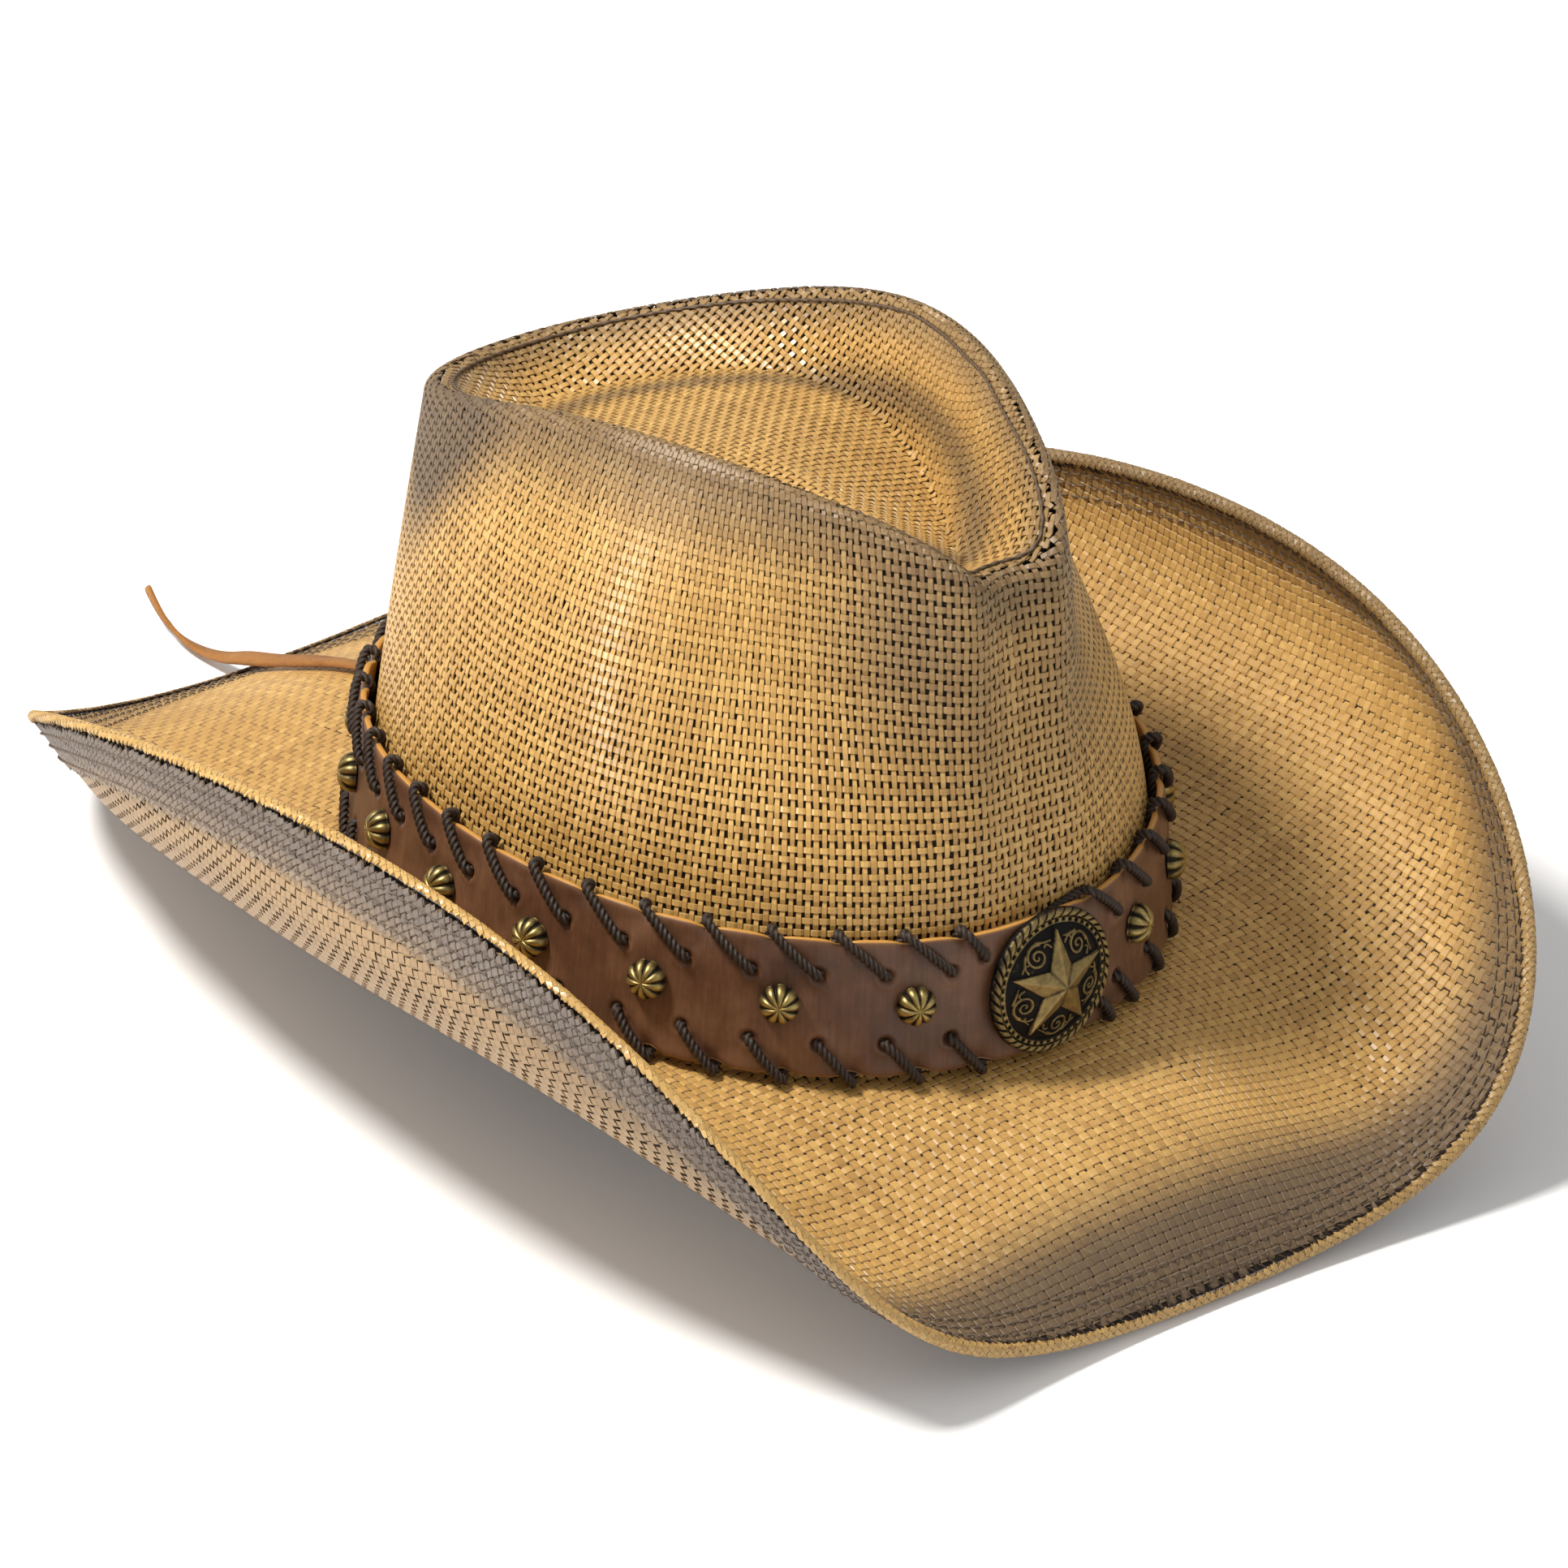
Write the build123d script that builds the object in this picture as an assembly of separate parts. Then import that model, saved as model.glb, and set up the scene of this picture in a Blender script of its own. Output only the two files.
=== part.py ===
from build123d import *
import math
import os

# Western straw hat, in millimetres. +Z is up, the front faces -Y and the wearer's right is -X.
# The hat rests on the front and back dips of its brim, and the origin is under its middle.
# Every station list runs from the front (0 degrees) to the back (180 degrees) in equal steps,
# and the left side mirrors the right side.

# Whole hat
CENTRE_Y = -14.0  # the head oval sits forward of the middle of the brim
LIFT = 37.9  # height of the head oval's level above the rest plane
CLOTH = 1.0  # woven paper straw
GAP = 0.1  # between layers that are sewn together

# Head oval, at the break between crown and brim
OVAL_HALF_LENGTH = 101.0
OVAL_HALF_WIDTH = 85.8
OVAL_FRONT_FULLNESS = 0.06

# Crown ridge: half widths at the inner stations, then lengths and heights at all of them
RIDGE_WIDTHS = (10, 21, 40, 54, 44)
RIDGE_LENGTHS = (-83, -86, -76, -36, 16, 71, 99)
RIDGE_HEIGHTS = (112.5, 114.5, 123, 130, 127, 109, 98)
RIDGE_ROLL = 3.0  # radius of the fold along the ridge
WALL_POWER = 1.75  # how late the crown wall leans in
PINCH_DEPTH = 6.0
PINCH_AZIMUTH = 36
PINCH_SPREAD = 26
PINCH_HEIGHT = 0.66
PINCH_RISE = 0.18

# Floor of the dished tip
DISH_WIDTHS = (15, 29, 40, 41, 26)
DISH_LENGTHS = (-62, -50, -26, 4, 36, 62, 78)
DISH_HEIGHTS = (104, 98, 96, 101, 101, 96, 90)
DISH_CENTRE_HEIGHT = 107.0
DISH_PLUG = 5.0  # radius of the flat spot in the middle of the dish

# Brim edge
EDGE_WIDTHS = (75, 115, 133, 132, 91)
EDGE_LENGTHS = (-167, -167, -139, -61, 53, 157, 196)
EDGE_HEIGHTS = (-36, -21, 23, 57, 48, -1, -36)
BRIM_START_SLOPES = (-6, 0, 4, -7, -5)  # degrees, at 0, 45, 90, 135 and 180
BRIM_EDGE_SLOPES = (-54, 93, 122, 77, -28)
BRIM_START_PULL = 0.37
BRIM_EDGE_PULL = 0.48
COLLAR_HEIGHT = 11.0  # the brim's upstand inside the crown
BREAK_RADIUS = 1.4

# Brim edge build-up
HEM_WIDTH = 18.0
WIRE_DIAMETER = 1.6
BINDING_THICKNESS = 0.8
BINDING_CLEARANCE = 0.2
THREAD = 0.6
HEM_ROWS = (5.5, 10.5, 15.5)  # distances of the stitch rows from the brim edge
HEM_THREAD_STAND = 0.3  # gap between the hem and the thread under it

# Sweatband
SWEATBAND_HEIGHT = 32.0
SWEATBAND_THICKNESS = 1.0
SWEATBAND_ROW = 4.5  # the stitch row's height above the break

# Hatband strap and its lacing
STRAP_THICKNESS = 1.65
STRAP_HEIGHT = 32.5
STRAP_STANDOFF = 2.25  # from the crown to the strap's back
STRAP_CLEARANCE = 3.2  # above the break line
STRAP_END_GAP = 6.0
LACE_DIAMETER = 1.8
LACE_FRONT = 1.35  # from the strap's face to the middle of the cord
LACE_BACK = 1.0
LACE_OVER = 1.4  # from the strap's edge to the middle of the cord
LACE_BEND = 1.5
LACE_PITCH = 15.5
LACE_HOLE = 2.4
LACE_HOLE_INSET = 8.0
LACE_FIRST = 25.25  # from the strap's middle to the first full stitch on each side
LACE_SIDE_STITCHES = 18
UPPER_SLANT = 10.7  # both edges' stitches lean the same way
LOWER_SLANT = 8.0
NEAR_STITCH = 17.3  # a short stitch beside the concho, one on each row
NEAR_INSET = 5.5
NEAR_SLANT = 5.2
LACE_BACK_STEP = 7.5  # between the cord's bends behind the concho

# Studs and concho
STUD_FIRST = 34.0
STUD_PITCH = 31.0
STUDS_PER_SIDE = 9
STUD_RADIUS = 4.8
STUD_RISE = 4.2
STUD_LOBES = 10
PRONG_OFFSET = 2.2
PRONG_WIDTH = 1.2
PRONG_THICKNESS = 0.45
CONCHO_RADIUS = 18.4
CONCHO_SEAT = 0.3  # from the strap's face to the concho's back
CONCHO_EDGE = 1.5  # height of the rim's outer edge
CONCHO_RIM_TOP = 2.1
CONCHO_RIM_SLOPE = 0.8  # width of the rim's outer bevel
CONCHO_RIM = 3.2  # width of the whole rim
CONCHO_DOME = 5.2  # height of the field at its middle
CONCHO_WALL = 1.0
STAR_RADIUS = 14.2
STAR_WAIST = 5.6
STAR_TIP_HEIGHT = 3.5
STAR_WAIST_HEIGHT = 5.0
STAR_APEX = 7.4
BOSS_RADIUS = 3.4
SCREW_RADIUS = 1.5
SCREW_HEAD_RADIUS = 3.6
SCREW_HEAD = 1.1

# Tie lace
TIE_WIDTH = 4.6
TIE_THICKNESS = 1.1
TIE_HOLE_OFFSET = 9.0
TAIL_WIDTH = 5.5
TAIL_THICKNESS = 1.4
KNOT_SIZE = (8.5, 4.6, 8.0)
KNOT_STAND = 4.6  # from the strap's face to the knot's middle
KNOT_ROUNDING = 1.8
# y and z of the tail's bends, from the knot's underside over the brim's back edge to the tip
TAIL_ROUTE = (
    (95.4, 47.35), (95.4, 42.5), (98.2, 36.6), (104.5, 32.9), (114.5, 30.9), (127.0, 27.4),
    (141.0, 23.1), (155.0, 17.3), (168.0, 11.6), (179.0, 7.6), (187.0, 4.0), (196.5, 1.9),
    (206.0, 2.3), (213.5, 5.0), (218.5, 10.2),
)

AROUND = 96  # grid steps round the hat
TABLE_STEPS = 360


def cosine_through(stations, turn):
    """A smooth curve, level at both ends, through values at equal steps of half a turn."""
    last = len(stations) - 1
    total = 0.0
    for order in range(last + 1):
        weight = sum(
            (0.5 if j in (0, last) else 1.0) * stations[j] * math.cos(math.pi * order * j / last)
            for j in range(last + 1)
        )
        total += (0.5 if order in (0, last) else 1.0) * 2 / last * weight * math.cos(order * turn)
    return total


def sine_through(stations, turn):
    """As cosine_through, for a half width that is zero at both ends."""
    last = len(stations) + 1
    total = 0.0
    for order in range(1, last):
        weight = sum(stations[j - 1] * math.sin(math.pi * order * j / last) for j in range(1, last))
        total += 2 / last * weight * math.sin(order * turn)
    return total


def trace(widths, lengths, heights):
    """A half loop as rows of azimuth, radius and height, from the front to the back."""
    rows = []
    for step in range(TABLE_STEPS + 1):
        turn = math.pi * step / TABLE_STEPS
        x = max(sine_through(widths, turn), 0.0)
        y = cosine_through(lengths, turn)
        rows.append((math.atan2(x, -y), math.hypot(x, y), cosine_through(heights, turn)))
    return rows


def fold(azimuth):
    """The azimuth on the right half, from 0 at the front to pi at the back."""
    return abs(math.remainder(azimuth, 2 * math.pi))


def look_up(rows, value):
    """Linear interpolation in rows whose first entries rise."""
    low, high = 0, len(rows) - 1
    if value <= rows[0][0]:
        return rows[0][1:]
    if value >= rows[-1][0]:
        return rows[-1][1:]
    while high - low > 1:
        middle = (low + high) // 2
        if rows[middle][0] <= value:
            low = middle
        else:
            high = middle
    share = (value - rows[low][0]) / (rows[high][0] - rows[low][0])
    return tuple(a + share * (b - a) for a, b in zip(rows[low][1:], rows[high][1:]))


def trace_oval():
    rows = []
    for step in range(TABLE_STEPS + 1):
        turn = math.pi * step / TABLE_STEPS
        x = OVAL_HALF_WIDTH * math.sin(turn) * (1 + OVAL_FRONT_FULLNESS * math.cos(turn))
        y = -OVAL_HALF_LENGTH * math.cos(turn)
        azimuth = math.atan2(max(x, 0.0), -y)
        height = -2 - 2 * math.cos(2 * azimuth) + 2 * math.cos(azimuth)
        rows.append((azimuth, math.hypot(x, y), height))
    return rows


OVAL = trace_oval()
RIDGE = trace(RIDGE_WIDTHS, RIDGE_LENGTHS, RIDGE_HEIGHTS)
DISH = trace(DISH_WIDTHS, DISH_LENGTHS, DISH_HEIGHTS)
EDGE = trace(EDGE_WIDTHS, EDGE_LENGTHS, EDGE_HEIGHTS)


def place(azimuth, radius, height):
    """A point of the hat's frame from an azimuth, a radius and a height at the head oval."""
    return Vector(-radius * math.sin(azimuth), CENTRE_Y - radius * math.cos(azimuth), LIFT + height)


def wall_radius(azimuth, height):
    """Outer radius of the crown wall at a height above the head oval's level."""
    side = fold(azimuth)
    low_radius, low = look_up(OVAL, side)
    high_radius, high = look_up(RIDGE, side)
    share = min(max((height - low) / (high - low), 0.0), 1.0)
    across = math.exp(-(((math.degrees(side) - PINCH_AZIMUTH) / PINCH_SPREAD) ** 2))
    along = math.exp(-(((share - PINCH_HEIGHT) / PINCH_RISE) ** 2))
    return low_radius + (high_radius - low_radius) * share**WALL_POWER - PINCH_DEPTH * across * along


def wall_profile(azimuth):
    """Radius and height up the outside of the crown and over the rolled ridge."""
    low = look_up(OVAL, fold(azimuth))[1]
    high = look_up(RIDGE, fold(azimuth))[1]
    bottom = low + GAP
    top = high - RIDGE_ROLL
    steps = 22
    profile = []
    for i in range(steps + 1):
        height = bottom + (top - bottom) * i / steps
        profile.append((wall_radius(azimuth, height), height))
    edge = profile[-1][0]
    for i in range(1, 7):
        turn = math.radians(15 * i)
        profile.append((edge - RIDGE_ROLL * (1 - math.cos(turn)), top + RIDGE_ROLL * math.sin(turn)))
    return profile


def tip_profile(azimuth):
    """Radius and height from the ridge down the dish wall and over its floor to the plug."""
    rim, top = wall_profile(azimuth)[-1]
    side = fold(azimuth)
    foot_radius, foot = look_up(DISH, side)
    start = rim - GAP
    profile = []
    wall_steps = 12
    for i in range(wall_steps + 1):
        share = i / wall_steps
        drop = 0.5 * (share * share * (3 - 2 * share) + share**1.3)
        profile.append((start + (foot_radius - start) * share, top + (foot - top) * drop))
    flat = DISH_PLUG + 2
    floor_steps = 9
    for i in range(1, floor_steps + 1):
        share = i / floor_steps
        rise = 0.5 * (share * share * (3 - 2 * share) + math.sin(math.pi / 2 * share))
        height = foot + (DISH_CENTRE_HEIGHT - foot) * rise
        profile.append((foot_radius + (flat - foot_radius) * share, height))
    profile.append((DISH_PLUG + 1, DISH_CENTRE_HEIGHT))
    profile.append((DISH_PLUG, DISH_CENTRE_HEIGHT))
    return profile


def brim_curve(azimuth, share):
    """Radius and height on the brim's upper face, from the break (0) to the edge (1)."""
    side = fold(azimuth)
    start_radius, start = look_up(OVAL, side)
    end_radius, end = look_up(EDGE, side)
    start_slope = math.radians(cosine_through(BRIM_START_SLOPES, side))
    end_slope = math.radians(cosine_through(BRIM_EDGE_SLOPES, side))
    reach = math.hypot(end_radius - start_radius, end - start)
    first = BRIM_START_PULL * reach
    second = BRIM_EDGE_PULL * reach
    knots = (
        (start_radius, start),
        (start_radius + first * math.cos(start_slope), start + first * math.sin(start_slope)),
        (end_radius - second * math.cos(end_slope), end - second * math.sin(end_slope)),
        (end_radius, end),
    )
    weights = ((1 - share) ** 3, 3 * share * (1 - share) ** 2, 3 * share**2 * (1 - share), share**3)
    return tuple(sum(w * knot[i] for w, knot in zip(weights, knots)) for i in (0, 1))


def brim_by_distance(azimuth):
    """Rows of distance from the edge, radius and height, from the edge inwards."""
    points = [brim_curve(azimuth, 1 - i / 60) for i in range(61)]
    rows = [(0.0, *points[0])]
    for before, after in zip(points, points[1:]):
        rows.append((rows[-1][0] + math.dist(before, after), *after))
    return rows


def slide_off(profile, distance):
    """A radius-and-height profile moved sideways by a distance, to the left of its direction."""
    moved = []
    for i, (radius, height) in enumerate(profile):
        before = profile[max(i - 1, 0)]
        after = profile[min(i + 1, len(profile) - 1)]
        length = math.dist(before, after)
        across = (after[0] - before[0]) / length
        upward = (after[1] - before[1]) / length
        moved.append((radius - distance * upward, height + distance * across))
    return moved


def skin(profile_at, first=0.0, last=2 * math.pi, steps=AROUND):
    """A smooth face through one profile at each azimuth."""
    rows = [profile_at(first + (last - first) * j / steps) for j in range(steps + 1)]
    grid = [[place(first + (last - first) * j / steps, *row[i]) for j, row in enumerate(rows)]
            for i in range(len(rows[0]))]
    return Face.make_surface_from_array_of_points(grid, tol=0.01)


def shell_between(outer, inner):
    """A solid from two like faces, closed along their free borders."""
    sides = []
    for one, other in zip(outer.edges(), inner.edges()):
        if len(outer.edges()) == 4 or one.is_closed:
            sides.append(Face.make_surface_from_curves(one, other))
    return Solid(Shell([outer, inner, *sides]))


def layer(profile_at, near, far, **limits):
    """A layer of cloth or leather between two distances from a profile."""
    outer = skin(lambda azimuth: slide_off(profile_at(azimuth), near), **limits)
    inner = skin(lambda azimuth: slide_off(profile_at(azimuth), far), **limits)
    return shell_between(outer, inner)


def ring_of(centre_at, radius, sides=12):
    """A closed thread or wire whose middle is centre_at(azimuth), a radius and a height."""

    def section(azimuth):
        middle, level = centre_at(azimuth)
        turns = [math.tau * i / sides for i in range(sides + 1)]
        return [(middle + radius * math.cos(turn), level + radius * math.sin(turn)) for turn in turns]

    return Solid(Shell([skin(section)]))


# Crown


def make_crown_side():
    return layer(wall_profile, 0.0, CLOTH)


def make_crown_tip():
    top = skin(tip_profile)
    under = skin(lambda azimuth: slide_off(tip_profile(azimuth), CLOTH))
    faces = [top, under]
    rims = [[e for e in face.edges() if e.is_closed] for face in faces]
    rims = [sorted(pair, key=lambda e: e.length) for pair in rims]
    faces.append(Face.make_surface_from_curves(rims[0][1], rims[1][1]))
    faces += [Face(Wire([pair[0]])) for pair in rims]
    return Solid(Shell(faces))


def make_tip_seam():
    def middle(azimuth):
        rim, top = wall_profile(azimuth)[-1]
        return rim - GAP / 2, top + THREAD + GAP

    return ring_of(middle, THREAD)


def make_sweatband():
    def profile(azimuth):
        low = look_up(OVAL, fold(azimuth))[1]
        heights = [low + 0.5 + SWEATBAND_HEIGHT * i / 8 for i in range(9)]
        return [(wall_radius(azimuth, height), height) for height in heights]

    near = 2 * (CLOTH + GAP)
    gap_angle = 0.005
    return layer(
        profile, near, near + SWEATBAND_THICKNESS, first=math.pi + gap_angle, last=3 * math.pi - gap_angle
    )


def make_sweatband_stitching():
    def profile(azimuth):
        low = look_up(OVAL, fold(azimuth))[1]
        heights = [low + SWEATBAND_ROW + offset for offset in (-THREAD / 2, 0, THREAD / 2)]
        return [(wall_radius(azimuth, height), height) for height in heights]

    near = 2 * (CLOTH + GAP) + SWEATBAND_THICKNESS + GAP
    return layer(profile, near, near + THREAD)


# Brim


def collar_profile(azimuth):
    """The brim's upper face, from the top of its collar round the break."""
    low = look_up(OVAL, fold(azimuth))[1]
    heights = [low + COLLAR_HEIGHT - i * (COLLAR_HEIGHT - BREAK_RADIUS) / 4 for i in range(5)]
    profile = [(wall_radius(azimuth, height) - CLOTH - GAP, height) for height in heights]
    corner = profile[-1][0]
    for i in range(1, 5):
        turn = math.radians(22 * i)
        profile.append(
            (corner + BREAK_RADIUS * (1 - math.cos(turn)), low + BREAK_RADIUS * (1 - math.sin(turn)))
        )
    return profile


def cloth_end():
    """Distance from the brim's outermost line to where its cloth stops, inside the binding."""
    return 2 * BINDING_THICKNESS + 2 * BINDING_CLEARANCE + WIRE_DIAMETER


def brim_profile(azimuth):
    profile = collar_profile(azimuth)
    rows = brim_by_distance(azimuth)
    start = rows[-1][0] - 2.2
    steps = 26
    for i in range(steps + 1):
        distance = start + (cloth_end() - start) * i / steps
        profile.append(look_up(rows, distance))
    return profile


def hem_profile(azimuth):
    rows = brim_by_distance(azimuth)
    start = cloth_end() + HEM_WIDTH
    return [look_up(rows, start + (cloth_end() - start) * i / 8) for i in range(9)]


def edge_frame(azimuth):
    """The wire's middle in the brim edge, with the unit outward direction there."""
    rows = brim_by_distance(azimuth)
    depth = BINDING_THICKNESS + BINDING_CLEARANCE + WIRE_DIAMETER / 2
    middle = look_up(rows, depth)
    inner = look_up(rows, depth + 2)
    length = math.dist(middle, inner)
    outward = ((middle[0] - inner[0]) / length, (middle[1] - inner[1]) / length)
    level = CLOTH + GAP / 2
    return (middle[0] + level * outward[1], middle[1] - level * outward[0]), outward


def binding_section(azimuth, radius):
    """An open arc round the wire, from over the brim to under it."""
    (radius_0, height_0), (out_r, out_z) = edge_frame(azimuth)
    section = []
    for i in range(13):
        turn = math.radians(105 - 210 * i / 12)
        along = radius * math.cos(turn)
        across = radius * math.sin(turn)
        point = (radius_0 + along * out_r - across * out_z, height_0 + along * out_z + across * out_r)
        section.append(point)
    return section


def make_brim():
    return layer(brim_profile, 0.0, -CLOTH)


def make_brim_hem():
    return layer(hem_profile, -CLOTH - GAP, -2 * CLOTH - GAP)


def make_brim_wire():
    return ring_of(lambda azimuth: edge_frame(azimuth)[0], WIRE_DIAMETER / 2)


def make_edge_binding():
    inner_radius = WIRE_DIAMETER / 2 + BINDING_CLEARANCE
    inner = skin(lambda azimuth: binding_section(azimuth, inner_radius))
    outer = skin(lambda azimuth: binding_section(azimuth, inner_radius + BINDING_THICKNESS))
    return shell_between(outer, inner)


def make_hem_stitching():
    def row(distance):
        def profile(azimuth):
            rows = brim_by_distance(azimuth)
            return [look_up(rows, distance + offset) for offset in (THREAD / 2, 0, -THREAD / 2)]

        near = -2 * CLOTH - GAP - HEM_THREAD_STAND
        return layer(profile, near, near - THREAD)

    return Compound([row(distance) for distance in HEM_ROWS])


# Hatband


def strap_bottom(azimuth):
    return look_up(OVAL, fold(azimuth))[1] + STRAP_CLEARANCE


def measure_strap():
    """Rows of length along the middle of the strap's face and azimuth, from front to back."""
    rows = [(0.0, 0.0)]
    before = None
    for step in range(TABLE_STEPS + 1):
        azimuth = math.pi * step / TABLE_STEPS
        height = strap_bottom(azimuth) + STRAP_HEIGHT / 2
        here = place(azimuth, wall_radius(azimuth, height) + STRAP_STANDOFF + STRAP_THICKNESS, height)
        if before is not None:
            rows.append((rows[-1][0] + (here - before).length, azimuth))
        before = here
    return rows


STRAP_TABLE = measure_strap()
STRAP_HALF = STRAP_TABLE[-1][0]


def strap_azimuth(length):
    """Azimuth at a length along the strap, positive towards the wearer's right."""
    if abs(length) > STRAP_HALF:
        length -= math.copysign(2 * STRAP_HALF, length)
    return math.copysign(look_up(STRAP_TABLE, abs(length))[0], length)


def on_strap(length, rise, stand):
    """A point at a length along the strap, a rise over its lower edge and a stand off its face."""
    azimuth = strap_azimuth(length)
    height = strap_bottom(azimuth) + rise
    clamped = min(max(rise, 0.0), STRAP_HEIGHT)
    face = wall_radius(azimuth, strap_bottom(azimuth) + clamped) + STRAP_STANDOFF + STRAP_THICKNESS
    return place(azimuth, face + stand, height)


def strap_plane(length, rise, stand=0.0):
    """A plane on the strap's face: x runs towards the wearer's left round the front, z points out."""
    here = on_strap(length, rise, stand)
    along = (on_strap(length - 1, rise, stand) - on_strap(length + 1, rise, stand)).normalized()
    up = (on_strap(length, rise + 1, stand) - on_strap(length, rise - 1, stand)).normalized()
    return Plane(origin=here, x_dir=along, z_dir=along.cross(up))


def lacing_stitches(slant):
    """Length, hole inset and slant of a row's stitches, from one strap end round to the other."""
    side = [LACE_FIRST + LACE_PITCH * i for i in range(LACE_SIDE_STITCHES)]
    away = math.copysign(1, slant)
    before = [(away * length, LACE_HOLE_INSET, slant) for length in reversed(side)]
    beside = [(away * NEAR_STITCH, NEAR_INSET, away * NEAR_SLANT)]
    after = [(-away * length, LACE_HOLE_INSET, slant) for length in side]
    return before + beside + after


def stud_lengths():
    side = [STUD_FIRST + STUD_PITCH * i for i in range(STUDS_PER_SIDE)]
    return [*reversed(side), *[-length for length in side]]


STUD_LEVEL = STRAP_HEIGHT / 2 + 1.0
TIE_LEVEL = STRAP_HEIGHT / 2


def make_hatband_strap():
    def profile(azimuth):
        low = strap_bottom(azimuth)
        heights = [low + STRAP_HEIGHT * i / 8 for i in range(9)]
        return [(wall_radius(azimuth, height), height) for height in heights]

    def side(stand):
        def moved(azimuth):
            return [(radius + stand, height) for radius, height in profile(azimuth)]

        return moved

    end = strap_azimuth(STRAP_HALF - STRAP_END_GAP / 2)
    limits = {"first": -end, "last": end}
    outer = skin(side(STRAP_STANDOFF + STRAP_THICKNESS), **limits)
    inner = skin(side(STRAP_STANDOFF), **limits)
    strap = shell_between(outer, inner)
    depth = 3 * STRAP_THICKNESS
    tools = []
    for length, inset, _ in lacing_stitches(UPPER_SLANT):
        tools.append(strap_plane(length, STRAP_HEIGHT - inset).location * Cylinder(LACE_HOLE / 2, depth))
    for length, inset, _ in lacing_stitches(-LOWER_SLANT):
        tools.append(strap_plane(length, inset).location * Cylinder(LACE_HOLE / 2, depth))
    for length in stud_lengths():
        for offset in (-PRONG_OFFSET, PRONG_OFFSET):
            slot = Pos(offset, 0, 0) * Box(PRONG_THICKNESS + 0.5, PRONG_WIDTH + 0.4, depth)
            tools.append(strap_plane(length, STUD_LEVEL).location * slot)
    tools.append(strap_plane(0, STUD_LEVEL).location * Cylinder(SCREW_RADIUS + 0.3, depth))
    for length in (STRAP_HALF - TIE_HOLE_OFFSET, TIE_HOLE_OFFSET - STRAP_HALF):
        slot = Box(TIE_THICKNESS + 1.0, TIE_WIDTH + 0.8, depth)
        tools.append(strap_plane(length, TIE_LEVEL).location * slot)
    return strap.cut(*tools)


def make_lacing(slant):
    """A whip-stitched cord: over the strap's edge, slanting to a hole, in and back to the edge."""
    upper = slant > 0
    front = LACE_FRONT
    back = -STRAP_THICKNESS - LACE_BACK
    edge_rise = STRAP_HEIGHT + LACE_OVER if upper else -LACE_OVER
    points = []
    stitches = lacing_stitches(slant)
    for number, (length, inset, lean) in enumerate(stitches):
        rise = STRAP_HEIGHT - inset if upper else inset
        if number > 0:
            points.append(on_strap(length + lean, edge_rise, front))
        points.append(on_strap(length, rise, front))
        points.append(on_strap(length, rise, back))
        if number < len(stitches) - 1:
            next_length, _, next_lean = stitches[number + 1]
            target = next_length + next_lean
            steps = int(abs(target - length) / LACE_BACK_STEP)
            steps = steps if steps >= 4 else 1
            for step in range(1, steps + 1):
                share = step / steps
                points.append(on_strap(length + (target - length) * share,
                                       rise + (edge_rise - rise) * share, back))
    path = FilletPolyline(*points, radius=LACE_BEND)
    start = Plane(origin=path @ 0, z_dir=path % 0)
    return sweep(start * Circle(LACE_DIAMETER / 2), path=path)


def make_stud():
    """A fluted dome with two prongs, standing on the XY plane with its prongs below."""
    bow = (STUD_RADIUS**2 + STUD_RISE**2) / (2 * STUD_RISE)
    dome = Pos(0, 0, STUD_RISE - bow) * Sphere(bow) & Pos(0, 0, STUD_RISE / 2) * Box(20, 20, STUD_RISE)
    grooves = []
    for i in range(STUD_LOBES):
        flute = Pos(STUD_RADIUS, 0, STUD_RISE + 0.1) * Rot(0, 62, 0) * Cylinder(0.75, 14)
        grooves.append(Rot(0, 0, 360 * i / STUD_LOBES) * flute)
    head = dome - grooves
    for side in (-1, 1):
        leg = Box(PRONG_THICKNESS, PRONG_WIDTH, 2.4, align=(Align.CENTER, Align.CENTER, Align.MAX))
        toe = Box(1.5, PRONG_WIDTH, PRONG_THICKNESS, align=(Align.CENTER, Align.CENTER, Align.MIN))
        head += Pos(side * PRONG_OFFSET, 0, 0.1) * leg
        head += Pos(side * (PRONG_OFFSET - 0.5), 0, -2.3) * toe
    return head


def post(radius, low, high):
    """A cylinder on the Z axis between two heights."""
    return Pos(0, 0, low) * Cylinder(radius, high - low, align=(Align.CENTER, Align.CENTER, Align.MIN))


def concho_disc(offset):
    """The concho's turned blank, or the hollow under it for an offset above zero."""
    radius = CONCHO_RADIUS - offset
    inner = CONCHO_RADIUS - CONCHO_RIM
    rim_top = CONCHO_RIM_TOP - offset
    dome = CONCHO_DOME - offset
    bow = ((inner**2 + (dome - rim_top) ** 2)) / (2 * (dome - rim_top))
    turn = math.asin(inner / bow) / 2
    middle = (bow * math.sin(turn), dome - bow * (1 - math.cos(turn)))
    outline = [
        Line((0, 0), (radius, 0)),
        Line((radius, 0), (radius, CONCHO_EDGE - offset)),
        Line((radius, CONCHO_EDGE - offset), (radius - CONCHO_RIM_SLOPE, rim_top)),
        Line((radius - CONCHO_RIM_SLOPE, rim_top), (inner, rim_top)),
        ThreePointArc((inner, rim_top), middle, (0, dome)),
        Line((0, dome), (0, 0)),
    ]
    return revolve(Plane.XZ * make_face(outline), Axis.Z)


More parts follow.
